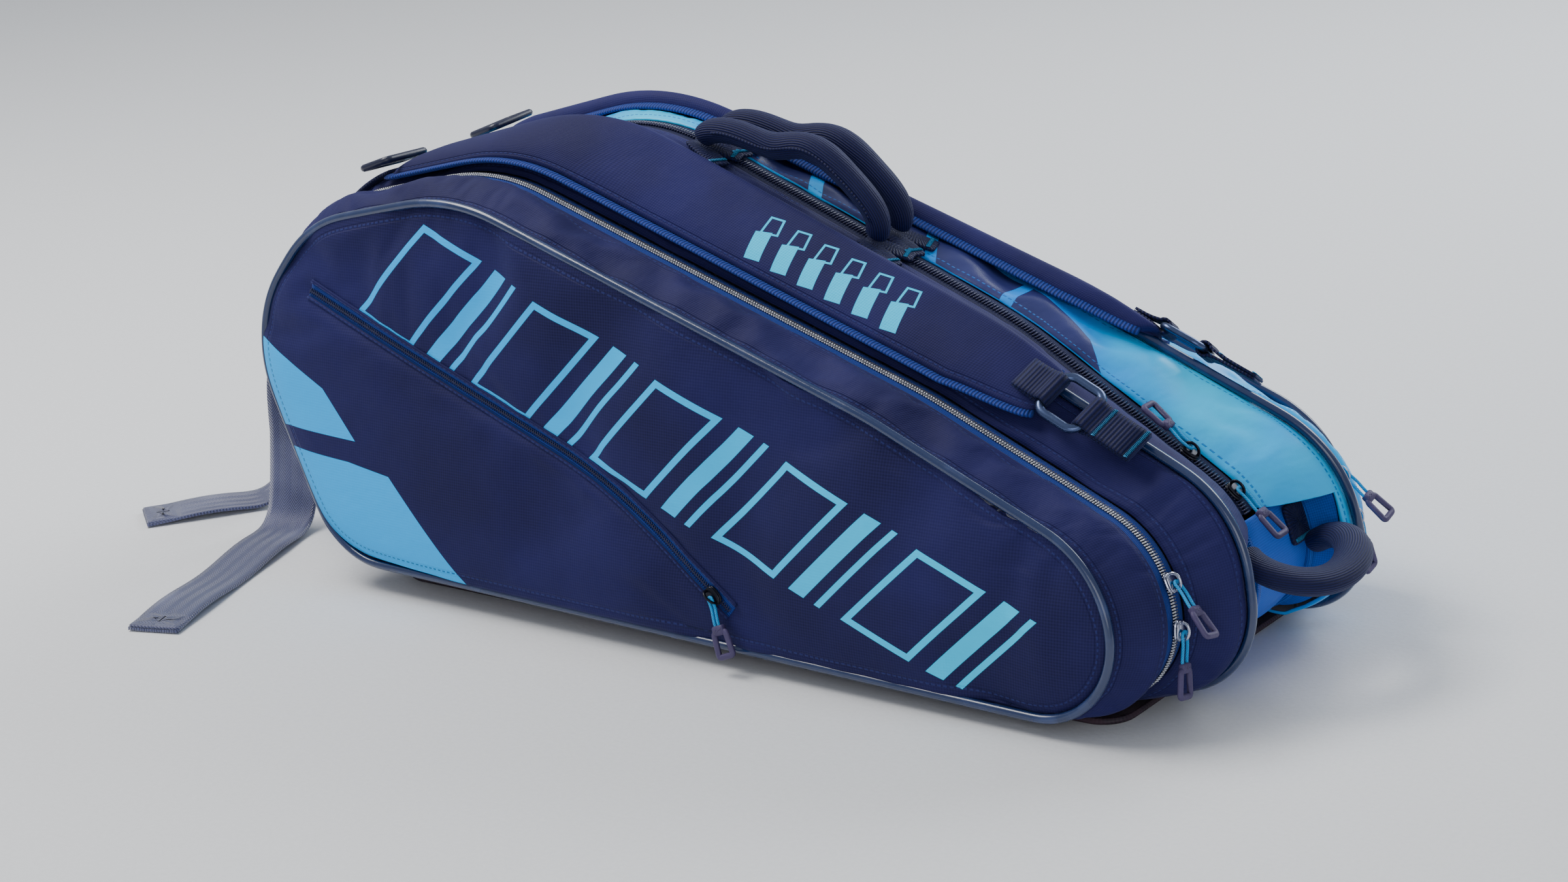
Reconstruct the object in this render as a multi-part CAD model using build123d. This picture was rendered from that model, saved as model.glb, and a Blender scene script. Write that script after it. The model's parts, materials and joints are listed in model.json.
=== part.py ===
from build123d import *
import math
import os

os.makedirs("parts", exist_ok=True)

# ---------------------------------------------------------------------------
# A three-compartment racket bag, standing on its base.
# Millimetres. +X runs along the bag to the narrow end with the grab handle,
# the near side faces -Y, +Z is up, and the origin is on the ground under the
# middle of the base. The bag is symmetric about the XZ plane, apart from the
# pocket on the near side and the two loose webbing tails.
# ---------------------------------------------------------------------------

# Side outline of the bag, as a polygon with rounded corners: (x, height, corner radius).
OUTLINE = [
    (-325, 196, 78),    # bulge of the tall end
    (-266, 284, 90),    # shoulder of the tall end
    (-140, 318, 150),   # crest
    (188, 200, 270),    # slow bend in the long top slope
    (350, 125, 72),     # top of the narrow end
    (369, 11, 49),      # foot of the narrow end
    (-247, 23, 64),     # foot of the tall end
]
FLOOR_LINE = 8.0        # height about which the outline is stretched

# The seams, from the near panel to the middle: where the seam's plane meets the ground,
# how far it leans in per unit height, the stretch and shift of the outline on it, and how
# far its shoulder, crest and narrow top move (x, height) from the stretched outline.
PANEL_SEAM = dict(y=-156.0, lean=0.115, length=1.03, height=0.89, shift=-10.0)
ZIP_SEAM = dict(y=-121.0, lean=0.154, length=1.08, height=0.935, shift=-2.0)
DIVIDER_SEAM = dict(
    y=-78.0, lean=0.12, length=1.10, height=1.04, shift=15.0,
    shoulder=(0, -30), crest=(48, -12),
)
MIDDLE_SEAM = dict(
    y=0.0, lean=0.0, length=1.02, height=1.04, shift=20.0,
    shoulder=(10, -22), crest=(48, -8), narrow_top=(0, -22),
)

GAP = 0.8               # clearance between neighbouring pieces
SKIN = 3.0              # fabric with its lining, as one thickness
SKIN_INSET = 4.5        # outer face of the bands, inside the seam's outline
PIPING_R = 3.0
TAPE_W = 9.0            # one side of a zip, tape and teeth
TAPE_T = 2.4
TAPE_INSET = 4.0
FOAM_T = 5.0
FOAM_INSET = 14.0
BOARD_T = 2.0

# Base
BASE_T = 4.0
BASE_X = (-238.0, 348.0)
BASE_HALF_Y = 126.0
BASE_CORNER_R = 22.0

# Lid hinge: the lower seam of the side panel
HINGE_Y = -155.0
HINGE_Z = 14.0
LID_CUT_DEG = 28.0

# End gusset, between the halves at the narrow end
GUSSET_HALF_Y = 56.0
GUSSET_TOP = 100.0
GUSSET_X = 300.0

# Carry handles
HANDLE_R = 11.0
HANDLE_Y = -13.0
HANDLE_FEET_X = (-30.0, 116.0)
HANDLE_STAND = 14.0     # from the band up to where the tube begins
HANDLE_RISE = (24.0, 39.0, 46.0)   # tube's middle above the band, at three places between the feet
FOOT_LENGTH = 34.0
FOOT_WIDTH = 20.0
FOOT_T = 2.0

# End handle
END_HANDLE_R = 10.0
END_HANDLE_HALF_Y = 42.0
END_HANDLE_TOP = 88.0
END_HANDLE_REACH = 40.0
END_HANDLE_DROOP = 18.0
END_HANDLE_GAP = 16.0
END_HANDLE_SHOULDER = (0.62, 0.9)   # where its curve turns in, as shares of its reach and half width

# Shoulder straps
STRAP_START_X = -246.0
STRAP_END_X = 264.0
STRAP_T = 10.0
STRAP_LOW = 0.15        # near edge of the strap, as a share of the way from the zip to the divider
STRAP_HIGH = 0.25       # far edge, as a share of the way from the divider to the middle
STRAP_INSET = -15.0     # outer face of the strap, which lies on the divider piping
WEB_W = 38.0
WEB_T = 2.0
RING_X = 290.0
RING_LENGTH = 36.0
RING_WIDTH = 38.0
RING_BAR = 5.5
RING_CORNER_R = 7.5
RING_T = 5.0
RING_INSET = -14.5      # middle of the ring, far enough out for its webbing loops to clear the piping
RING_ACROSS = 0.55      # how far it sits from the strap's near edge, as a share of the way to the divider
LOOP_CLEAR = 2.0        # play between the ring's bar and the webbing round it
LOOP_SIDE_CLEAR = 1.8   # play between the webbing's edges and the ring
ANCHOR_TAB_L = 34.0
WEBBING_LOW = 0.3       # edges of the strap's webbing, as the same shares as the strap's
WEBBING_HIGH = 0.05
STRAP_LOOP_L = 14.0
ADJUSTER_L = 30.0
ADJUSTER_T = 6.0

# Zip sliders and pulls
SLIDER_L = 13.0
SLIDER_W = 9.0
SLIDER_T = 3.2
BAIL_R = 0.9
BAIL_HALF_L = 5.4
CORD_R = 1.3
CORD_HALF_W = 3.0
POCKET_CORD_HALF_W = 5.2
CORD_L = 22.0
TAB_W = 15.0
TAB_L = 20.0
TAB_T = 3.4
TAB_BAR = 4.0
SLIDER_LIFT = 1.2       # from the zip's outer face up to the slider
UPPER_SLIDER_Z = 92.0
LOWER_SLIDER_Z = 66.0
CENTRE_UPPER_Z = 132.0
CENTRE_LOWER_Z = 112.0
POCKET_SLIDER_UP = 14.0

# Front pocket: its zip runs down the panel in two straight stretches, as (x, height)
POCKET_ZIP = [(-278, 208), (-5, 106), (80, 40)]
POCKET_ZIP_W = 8.0
POCKET_T = 2.0
POCKET_INSET = 9.0

# Loose webbing tails: where each one meets the bag, where it comes down, its heading on the
# ground, its height there and its reach
NEAR_TAIL = dict(root=(-349, -72, 180), start=(-390, -58), heading=(0.30, -0.954), top=112.0, reach=236.0)
FAR_TAIL = dict(root=(-349, 72, 180), start=(-421, -20), heading=(-0.61, -0.792), top=100.0, reach=128.0)
TAIL_BEND_R = 24.0
TAIL_LEAN = 20.0        # how far its hanging stretch drifts along its heading


# ---- the outline and the seams ------------------------------------------------
def seam(y, lean, length, height, shift, shoulder=(0, 0), crest=(0, 0), narrow_top=(0, 0)):
    """A seam's plane and the outline's corners on it."""
    still = (0, 0)
    moves = [still, shoulder, crest, still, narrow_top, still, still]
    corners = []
    for (x, z, radius), (dx, dz) in zip(OUTLINE, moves):
        corners.append((x * length + shift + dx, FLOOR_LINE + (z - FLOOR_LINE) * height + dz, radius * length))
    return dict(y=y, lean=lean, corners=corners)


def mix(a, b, t):
    """The seam a fraction t of the way from a to b; t may run a little past either end."""
    corners = [
        tuple(p + (q - p) * t for p, q in zip(ca, cb))
        for ca, cb in zip(a["corners"], b["corners"])
    ]
    return dict(y=a["y"] + (b["y"] - a["y"]) * t, lean=a["lean"] + (b["lean"] - a["lean"]) * t, corners=corners)


def shifted(a, dy):
    """The same seam, moved dy towards the middle of the bag."""
    return dict(a, y=a["y"] + dy)


def seam_plane(a):
    """The seam's plane: its own x runs along the bag and its own y up the lean."""
    tilt = math.atan(a["lean"])
    return Plane(origin=(0, a["y"], 0), x_dir=(1, 0, 0), z_dir=(0, -math.cos(tilt), math.sin(tilt)))


def inset_corners(corners, inset):
    """Corners of the same rounded polygon with every edge moved inwards by inset."""
    lines = []
    for i, (x0, z0, _) in enumerate(corners):
        x1, z1, _ = corners[(i + 1) % len(corners)]
        length = math.hypot(x1 - x0, z1 - z0)
        # the corners run clockwise, so the inside is on the right of each edge
        lines.append((x0 + (z1 - z0) / length * inset, z0 - (x1 - x0) / length * inset, x1 - x0, z1 - z0))
    result = []
    for i, (bx, bz, bdx, bdz) in enumerate(lines):
        ax, az, adx, adz = lines[i - 1]
        t = ((bx - ax) * bdz - (bz - az) * bdx) / (adx * bdz - adz * bdx)
        result.append((ax + adx * t, az + adz * t, corners[i][2] - inset))
    return result


def outline(a, inset=0.0):
    """Closed wire of straight runs and arcs on the seam's plane."""
    corners = inset_corners(a["corners"], inset)
    count = len(corners)
    starts, ends, mids = [], [], []
    for i, (x, z, radius) in enumerate(corners):
        px, pz, _ = corners[i - 1]
        nx, nz, _ = corners[(i + 1) % count]
        back = Vector(px - x, pz - z).normalized()
        ahead = Vector(nx - x, nz - z).normalized()
        half = math.acos(back.dot(ahead)) / 2
        corner = Vector(x, z)
        starts.append(corner + back * (radius / math.tan(half)))
        ends.append(corner + ahead * (radius / math.tan(half)))
        mids.append(corner + (back + ahead).normalized() * (radius / math.sin(half) - radius))
    edges = []
    for i in range(count):
        edges.append(ThreePointArc(starts[i], mids[i], ends[i]))
        edges.append(Line(ends[i], starts[(i + 1) % count]))
    return Wire(edges).moved(seam_plane(a).location)


def rim(a, inset, x=None, height=None):
    """Point and direction on the seam's outline: on its top at x, or on its narrow end at height.

    The direction runs up the outline, from the narrow end towards the tall end.
    """
    wire = outline(a, inset)
    steps = 1500
    best = None
    for i in range(steps):
        p = wire @ (i / steps)
        if height is None:
            miss = abs(p.X - x) + (1000 if p.Z < 100 else 0)
        else:
            miss = abs(p.Z - height) + (1000 if p.X < 300 else 0)
        if best is None or miss < best[0]:
            best = (miss, p, wire % (i / steps))
    direction = best[2]
    if direction.X > 0 or (height is not None and direction.Z < 0):
        direction = direction * -1
    return best[1], direction


# ---- building blocks ----------------------------------------------------------
def shell(seams, inset, thickness):
    """A hollow ring through the given seams, open at both ends."""
    outer = Solid.make_loft([outline(s, inset) for s in seams], ruled=True)
    first = mix(seams[0], seams[1], -0.08)
    last = mix(seams[-2], seams[-1], 1.08)
    through = [first] + seams[1:-1] + [last]
    inner = Solid.make_loft([outline(s, inset + thickness) for s in through], ruled=True)
    return outer - inner


def slab(a, near, far, inset):
    """A flat sheet parallel to a seam, from near to far measured towards the middle."""
    return Solid.make_loft([outline(shifted(a, near), inset), outline(shifted(a, far), inset)], ruled=True)


def zip_tape(a, near, far):
    """One side of a zip, tape and teeth, as a flat ring beside its seam."""
    return shell([shifted(a, near), shifted(a, far)], TAPE_INSET, TAPE_T)


def tube(path, radius):
    """A round cord or tube along a path."""
    section = Wire.make_circle(radius, Plane(origin=path @ 0, z_dir=path % 0))
    return sweep(Face(section), path=path)


def block(x, y, z):
    """A box between the given limits on each axis."""
    size = (x[1] - x[0], y[1] - y[0], z[1] - z[0])
    centre = ((x[0] + x[1]) / 2, (y[0] + y[1]) / 2, (z[0] + z[1]) / 2)
    return Pos(*centre) * Box(*size)


def frame_plate(length, width, thickness, bar, corner):
    """A flat ring with rounded corners, length along its x and width along its y."""
    outer = RectangleRounded(length, width, corner)
    inner = RectangleRounded(length - 2 * bar, width - 2 * bar, max(corner - bar / 2, 1))
    return extrude(outer - inner, thickness / 2, both=True)


def mirrored(shape):
    """The same piece on the far side of the bag."""
    return mirror(shape, about=Plane.XZ)


def write(name, shape):
    """Write one node's solids to its own STEP file."""
    solids = shape.solids()
    whole = solids[0] if len(solids) == 1 else Compound(children=list(solids))
    export_step(whole, f"parts/{name}.step")


def write_pair(name, shape):
    """Write a near piece and its mirror image on the far side."""
    write(f"near_{name}", shape)
    write(f"far_{name}", mirrored(shape))


PANEL = seam(**PANEL_SEAM)
ZIP = seam(**ZIP_SEAM)
DIVIDER = seam(**DIVIDER_SEAM)
MIDDLE = seam(**MIDDLE_SEAM)


# ---- base and narrow end ------------------------------------------------------
def base_panel():
    plate = RectangleRounded(BASE_X[1] - BASE_X[0], 2 * BASE_HALF_Y, BASE_CORNER_R)
    return Pos((BASE_X[0] + BASE_X[1]) / 2, 0, 0) * extrude(plate, BASE_T)


def base_board():
    margin = 12.0
    plate = RectangleRounded(BASE_X[1] - BASE_X[0] - 2 * margin, 2 * (BASE_HALF_Y - margin), BASE_CORNER_R)
    return Pos((BASE_X[0] + BASE_X[1]) / 2, 0, BASE_T + GAP) * extrude(plate, BOARD_T)


def gusset_space(clear):
    """The block of space that the end gusset fills, grown by clear."""
    far = 600.0
    return block((GUSSET_X - clear, far), (-GUSSET_HALF_Y - clear, GUSSET_HALF_Y + clear), (0, GUSSET_TOP + clear))


def end_gusset():
    reach = GUSSET_HALF_Y + 10
    ring = shell([shifted(MIDDLE, -reach), shifted(MIDDLE, reach)], SKIN_INSET, SKIN)
    return ring & gusset_space(0)


def end_handle_start():
    """Where the end handle's tube leaves its near foot."""
    p, _ = rim(MIDDLE, SKIN_INSET, height=END_HANDLE_TOP)
    return Vector(p.X + END_HANDLE_GAP, -END_HANDLE_HALF_Y, END_HANDLE_TOP)


def end_handle():
    start = end_handle_start()
    reach = END_HANDLE_REACH
    tip = Vector(start.X + reach, 0, start.Z - END_HANDLE_DROOP)
    out, wide = END_HANDLE_SHOULDER
    side = Vector(start.X + reach * out, start.Y * wide, start.Z - END_HANDLE_DROOP * out)
    other_side = Vector(side.X, -side.Y, side.Z)
    finish = Vector(start.X, -start.Y, start.Z)
    path = Wire([Spline(start, side, tip, other_side, finish, tangents=[(1, 0, -0.2), (-1, 0, 0.2)])])
    return tube(path, END_HANDLE_R)


def end_handle_feet():
    """Two sewn patches on the gusset, behind the ends of the end handle."""
    p, along = rim(MIDDLE, SKIN_INSET, height=END_HANDLE_TOP - 6)
    plane = Plane(origin=p, x_dir=(0, 1, 0), z_dir=Vector(along.Z, 0, -along.X))
    patch = Pos(0, 0, 2 * GAP) * extrude(RectangleRounded(FOOT_WIDTH, FOOT_WIDTH, 3), FOOT_T)
    pair = [plane * Pos(side * END_HANDLE_HALF_Y, 0) * patch for side in (-1, 1)]
    return Compound(children=pair)


def ribbon(path, across, width, thickness):
    """Flat webbing along a path; across is the direction of its width."""
    section = Plane(origin=path @ 0, x_dir=across, z_dir=path % 0) * Rectangle(width, thickness)
    return sweep(section, path=path)


def tail(root, start, heading, top, reach):
    """Webbing that leaves the tall end, hangs down and then lies along the ground."""
    ground = WEB_T / 2 + 0.3
    across = (heading[1], -heading[0], 0)
    plane = Plane(origin=(start[0], start[1], 0), x_dir=(heading[0], heading[1], 0), z_dir=across)
    path = Wire(FilletPolyline((0, top), (TAIL_LEAN, ground), (reach, ground), radius=TAIL_BEND_R).edges())
    hanging = ribbon(path.moved(plane.location), across, WEB_W, WEB_T)
    knee = Vector(start[0], start[1], top - WEB_T)
    run = Vector(*root) - knee
    level = (run.Y, -run.X, 0)
    return hanging + ribbon(Wire([Line(knee, knee + run)]), level, WEB_W, WEB_T)


# ---- one half of the bag, without its lid -------------------------------------
def lid_cut(above):
    """The half space above (or below) the slanted plane that parts a lid from its base strip."""
    size = 1600.0
    rise = size / 2 + GAP / 2
    centre = Location((0, HINGE_Y, HINGE_Z), (LID_CUT_DEG, 0, 0)) * Pos(0, 0, rise if above else -rise)
    return centre * Box(size, size, size)


def outer_band_whole():
    return shell([mix(PANEL, ZIP, 0.11), shifted(ZIP, -1)], SKIN_INSET, SKIN)


def base_strip():
    """The lowest part of the outer band, which stays with the half when the lid opens."""
    return outer_band_whole() & lid_cut(above=False)


def body_zip_tape():
    return zip_tape(ZIP, 0.5, TAPE_W)


def middle_band():
    return shell([shifted(ZIP, TAPE_W + GAP), shifted(DIVIDER, -1)], SKIN_INSET, SKIN)


def divider():
    """The padded wall between the outer compartment and the middle one."""
    return slab(DIVIDER, -SKIN / 2, SKIN / 2, 2 * SKIN_INSET)


def divider_piping():
    return tube(outline(DIVIDER), PIPING_R)


def centre_band():
    whole = shell([shifted(DIVIDER, 1), shifted(MIDDLE, -TAPE_W - GAP)], SKIN_INSET, SKIN)
    return whole - gusset_space(GAP)


def centre_zip_tape():
    return zip_tape(MIDDLE, -TAPE_W, -0.5) - gusset_space(GAP)


# ---- the lid that closes an outer compartment ----------------------------------
def side_panel():
    return slab(PANEL, 0, SKIN, SKIN_INSET)


def panel_foam():
    near = SKIN + GAP
    return slab(PANEL, near, near + FOAM_T, FOAM_INSET)


def panel_piping():
    return tube(outline(PANEL), PIPING_R)


def outer_band():
    whole = shell([mix(PANEL, ZIP, 0.11), shifted(ZIP, -TAPE_W - GAP)], SKIN_INSET, SKIN)
    return whole & lid_cut(above=True)


def lid_zip_tape():
    return zip_tape(ZIP, -TAPE_W, -0.5) & lid_cut(above=True)


# ---- pocket on the near panel ----------------------------------------------------
def on_panel(sketch, outwards, thickness):
    """A flat sketch made solid in front of the panel seam, starting outwards from it."""
    return (seam_plane(PANEL).offset(outwards)) * extrude(sketch, thickness)


def pocket_zip_strip(width):
    """The band of the panel that the pocket's zip fills, as a flat sketch."""
    start, bend, finish = POCKET_ZIP
    strip = Polyline(start, bend, finish)
    return make_face(offset(Wire(strip.edges()), width / 2, side=Side.BOTH, kind=Kind.INTERSECTION).edges())


def pocket_panel():
    start, bend, finish = POCKET_ZIP
    far = 600.0
    below = make_face(Polyline(start, bend, finish, (finish[0], -far), (-far, -far), (-far, start[1] + 60), start))
    area = Face(outline(PANEL, POCKET_INSET).moved(seam_plane(PANEL).location.inverse()))
    return on_panel((area & below) - pocket_zip_strip(POCKET_ZIP_W + 2 * GAP), GAP, POCKET_T)


def pocket_zip():
    return on_panel(pocket_zip_strip(POCKET_ZIP_W), GAP, POCKET_T)


# ---- carry handles -----------------------------------------------------------------
def handle_ends():
    """Where the near carry handle's tube begins and ends."""
    points = []
    for x in HANDLE_FEET_X:
        p, _ = rim(MIDDLE, SKIN_INSET, x=x)
        points.append(Vector(x, HANDLE_Y, p.Z + HANDLE_STAND))
    return points


def carry_handle():
    start, finish = handle_ends()
    span = finish.X - start.X
    points = [start]
    for share, rise in zip((0.22, 0.5, 0.8), HANDLE_RISE):
        x = start.X + span * share
        p, _ = rim(MIDDLE, SKIN_INSET, x=x)
        points.append(Vector(x, HANDLE_Y, p.Z + rise))
    points.append(finish)
    return tube(Wire([Spline(*points, tangents=[(0.7, 0, 1), (0.1, 0, -1)])]), HANDLE_R)


def handle_feet():
    """The sewn patches under the two ends of a carry handle."""
    pair = []
    for x in HANDLE_FEET_X:
        p, along = rim(MIDDLE, SKIN_INSET, x=x)
        slope = math.degrees(math.atan2(-along.Z, -along.X))
        patch = Pos(0, 0, 2 * GAP) * extrude(RectangleRounded(FOOT_LENGTH, FOOT_WIDTH, 3), FOOT_T)
        pair.append(Location((x, HANDLE_Y, p.Z), (0, -slope, 0)) * patch)
    return Compound(children=pair)


# ---- shoulder straps ----------------------------------------------------------------
def strap_seams(low, high):
    return [mix(ZIP, DIVIDER, low), DIVIDER, mix(DIVIDER, MIDDLE, high)]


def strap_pad():
    ring = shell(strap_seams(STRAP_LOW, STRAP_HIGH), STRAP_INSET, STRAP_T)
    pad = ring & block((STRAP_START_X, STRAP_END_X), (-200, 0), (150, 500))
    return pad + strap_loop()


def strap_place(x):
    """A frame on the near half of the strap at x: its x runs down the slope and its z points out."""
    near, _ = rim(mix(ZIP, DIVIDER, STRAP_LOW), RING_INSET, x=x)
    far, along = rim(DIVIDER, RING_INSET, x=x)
    across = (far - near).normalized()
    return Plane(origin=near + (far - near) * RING_ACROSS, x_dir=along * -1, z_dir=across.cross(along))


def ring_frame():
    return strap_place(RING_X)


def strap_ring():
    return ring_frame() * frame_plate(RING_LENGTH, RING_WIDTH, RING_T, RING_BAR, RING_CORNER_R)


def webbing_loop(bar_x, reach):
    """Webbing folded round a bar of the ring and stitched flat, reaching towards reach."""
    inner = RING_BAR / 2 + LOOP_CLEAR
    sign = 1 if reach > 0 else -1
    eye = Circle(inner + WEB_T) - Circle(inner)
    flat = Pos(sign * (inner + WEB_T / 2 + abs(reach) / 2), 0) * Rectangle(abs(reach), 2 * WEB_T)
    profile = Pos(bar_x, 0) * (eye + flat)
    width = RING_WIDTH - 2 * (RING_BAR + LOOP_SIDE_CLEAR)
    return extrude(Plane.XZ * profile, width / 2, both=True)


def ring_tab():
    """The tab sewn to the band, whose loop holds the ring's lower bar."""
    return ring_frame() * webbing_loop((RING_LENGTH - RING_BAR) / 2, ANCHOR_TAB_L)


def strap_loop():
    """The strap's own loop, round the ring's upper bar."""
    return ring_frame() * webbing_loop(-(RING_LENGTH - RING_BAR) / 2, -STRAP_LOOP_L)


def strap_adjuster():
    """A ladder lock at the strap's other end."""
    plane = strap_place(STRAP_START_X - ADJUSTER_L / 2 - 4)
    outer = RectangleRounded(ADJUSTER_L, WEB_W + 8, 4)
    slot = RectangleRounded(6, WEB_W, 1.5)
    plate = outer - Pos(-7, 0) * slot - Pos(7, 0) * slot
    return plane * extrude(plate, ADJUSTER_T / 2, both=True)


def lower_webbing():
    """Webbing that runs down the tall end, from the adjuster to the foot of the bag."""
    ring = shell(strap_seams(WEBBING_LOW, WEBBING_HIGH), STRAP_INSET + STRAP_T - WEB_T - 0.4, WEB_T)
    return ring & block((-600, STRAP_START_X - ADJUSTER_L - 12), (-200, 0), (60, 500))


# ---- zip sliders and their pulls ----------------------------------------------------
def slider():
    """A zip slider with its bail: local y runs along the zip and local z points out."""
    body = Pos(0, 0, SLIDER_T / 2) * Box(SLIDER_W, SLIDER_L, SLIDER_T)
    body = fillet(body.edges().filter_by(Axis.Z), 2.5)
    rise = SLIDER_T + 5.4
    arch = ThreePointArc((0, -BAIL_HALF_L, SLIDER_T - 1), (0, 0, rise), (0, BAIL_HALF_L, SLIDER_T - 1))
    return body + tube(Wire([arch]), BAIL_R)


PULL_PIVOT = Vector(0, 0, SLIDER_T + CORD_R + 0.6)


def pull_cord(w):
    """A cord through the bail, its two ends w either side of the middle, running down into the tab."""
    z = PULL_PIVOT.Z
    path = Wire([
        Line((-w, -CORD_L, z), (-w, -w, z)),
        ThreePointArc((-w, -w, z), (0, 0, z), (w, -w, z)),
        Line((w, -w, z), (w, -CORD_L, z)),
    ])
    return tube(path, CORD_R)


def pull_tab():
    """A hollow rubber tab moulded on to the cord's two ends."""
    centre = Pos(0, -CORD_L - TAB_L / 2 + TAB_BAR / 2 + 1, PULL_PIVOT.Z)
    return centre * (Rot(0, 0, 90) * frame_plate(TAB_L, TAB_W, TAB_T, TAB_BAR, 3))


def slider_plane(point, along, out):
    """The frame of a slider lying on its zip: local y up the zip, local z outwards."""
    across = along.cross(out).normalized()
    upright = across.cross(along).normalized()
    return Plane(origin=point + upright * SLIDER_LIFT, x_dir=across, z_dir=upright)


def pull(half_width, twist, lift):
    """A cord and its tab, turned to one side by twist and hanging away from the bag by lift degrees."""
    flat = pull_cord(half_width) + pull_tab()
    lifted = Pos(PULL_PIVOT) * Rot(-lift, 0, 0) * Pos(-PULL_PIVOT) * flat
    return Rot(0, 0, twist) * lifted


def end_zip_frame(height):
    """Frame of a slider on the compartment zip, at a height on the narrow end."""
    p, along = rim(ZIP, TAPE_INSET, height=height)
    return slider_plane(p, along, Vector(1, 0, 0))


def centre_zip_frame(height):
    """Frame of a slider on the centre zip, at a height on the slope above the end gusset."""
    p, along = rim(MIDDLE, TAPE_INSET, height=height)
    return slider_plane(p, along, Vector(along.Z, 0, -along.X))


def pocket_zip_frame():
    """Frame of the slider near the lower end of the pocket's zip."""
    bend = Vector(*POCKET_ZIP[1])
    finish = Vector(*POCKET_ZIP[2])
    up = (bend - finish).normalized()
    place = finish + up * POCKET_SLIDER_UP
    plane = seam_plane(PANEL)
    point = plane.from_local_coords((place.X, place.Y, GAP + POCKET_T))
    along = plane.x_dir * up.X + plane.y_dir * up.Y
    return slider_plane(point, along, plane.z_dir)


# Each slider: its frame, then its pull's half width, twist and lift
SLIDERS = {
    "near_upper": (end_zip_frame(UPPER_SLIDER_Z), CORD_HALF_W, -5.0, 19.0),
    "near_lower": (end_zip_frame(LOWER_SLIDER_Z), CORD_HALF_W, -4.0, 4.0),
    "centre_upper": (centre_zip_frame(CENTRE_UPPER_Z), CORD_HALF_W, 180.0, 6.0),
    "centre_lower": (centre_zip_frame(CENTRE_LOWER_Z), CORD_HALF_W, 0.0, 2.0),
    "pocket": (pocket_zip_frame(), POCKET_CORD_HALF_W, -30.0, 2.0),
}


def write_sliders():
    body = slider()
    for name, (plane, half_width, twist, lift) in SLIDERS.items():
        placed = plane * body
        placed_pull = plane * pull(half_width, twist, lift)
        write(f"{name}_slider", placed)
        write(f"{name}_pull", placed_pull)
        if name.startswith("near"):
            far_name = name.replace("near", "far")
            write(f"{far_name}_slider", mirrored(placed))
            write(f"{far_name}_pull", mirrored(placed_pull))


# ---- write every piece ---------------------------------------------------------------
def main():
    write("base_panel", base_panel())
    write("base_board", base_board())
    write("end_gusset", end_gusset())
    write("end_handle", end_handle())
    write("end_handle_feet", end_handle_feet())
    write("webbing_tails", Compound(children=[tail(**NEAR_TAIL), tail(**FAR_TAIL)]))
    write("pocket_panel", pocket_panel())
    write("pocket_zip", pocket_zip())
    pairs = {
        "base_strip": base_strip,
        "body_zip_tape": body_zip_tape,
        "middle_band": middle_band,
        "divider": divider,
        "divider_piping": divider_piping,
        "centre_band": centre_band,
        "centre_zip_tape": centre_zip_tape,
        "side_panel": side_panel,
        "panel_foam": panel_foam,
        "panel_piping": panel_piping,
        "outer_band": outer_band,
        "lid_zip_tape": lid_zip_tape,
        "carry_handle": carry_handle,
        "handle_feet": handle_feet,
        "strap_pad": strap_pad,
        "strap_ring": strap_ring,
        "ring_tab": ring_tab,
        "strap_adjuster": strap_adjuster,
        "lower_webbing": lower_webbing,
    }
    for name, make in pairs.items():
        write_pair(name, make())
    write_sliders()


main()
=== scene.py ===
import json
import math
from contextlib import contextmanager

import bmesh
import bpy
import numpy as np
from mathutils import Matrix, Vector, noise


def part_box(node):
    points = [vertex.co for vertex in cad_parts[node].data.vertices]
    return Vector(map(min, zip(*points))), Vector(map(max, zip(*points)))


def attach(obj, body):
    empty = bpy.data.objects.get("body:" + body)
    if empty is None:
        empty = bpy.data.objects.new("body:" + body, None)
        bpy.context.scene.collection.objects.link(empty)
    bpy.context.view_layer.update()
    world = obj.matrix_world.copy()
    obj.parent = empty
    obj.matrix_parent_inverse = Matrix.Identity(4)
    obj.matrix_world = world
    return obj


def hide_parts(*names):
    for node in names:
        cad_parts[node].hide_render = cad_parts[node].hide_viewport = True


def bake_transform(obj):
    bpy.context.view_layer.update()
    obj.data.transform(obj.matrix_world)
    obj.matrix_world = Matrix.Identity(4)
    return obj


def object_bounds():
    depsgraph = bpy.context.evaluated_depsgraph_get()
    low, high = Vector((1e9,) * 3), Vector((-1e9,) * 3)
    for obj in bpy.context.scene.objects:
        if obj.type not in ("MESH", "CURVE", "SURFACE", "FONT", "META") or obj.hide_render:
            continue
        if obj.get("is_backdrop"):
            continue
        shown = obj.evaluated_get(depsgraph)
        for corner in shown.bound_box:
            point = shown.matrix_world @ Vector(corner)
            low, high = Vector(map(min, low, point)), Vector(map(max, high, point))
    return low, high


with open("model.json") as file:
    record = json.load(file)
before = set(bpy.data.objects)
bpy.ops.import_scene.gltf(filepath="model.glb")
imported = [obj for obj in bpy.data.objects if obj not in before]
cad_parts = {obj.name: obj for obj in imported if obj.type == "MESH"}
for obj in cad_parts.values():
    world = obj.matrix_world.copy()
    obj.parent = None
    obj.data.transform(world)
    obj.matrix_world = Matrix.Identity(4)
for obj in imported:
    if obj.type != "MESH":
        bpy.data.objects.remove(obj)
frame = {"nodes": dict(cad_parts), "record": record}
cad_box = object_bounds()
scene = bpy.context.scene

# ---------------------------------------------------------------------------
# Looks of a three-compartment racket bag, built around its CAD frame.
# Metres. +X to the narrow end, -Y to the near side with the pocket, +Z up.
# The seams are measured from the frame's nodes, and the fabric is stretched between them.
# ---------------------------------------------------------------------------

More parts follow.
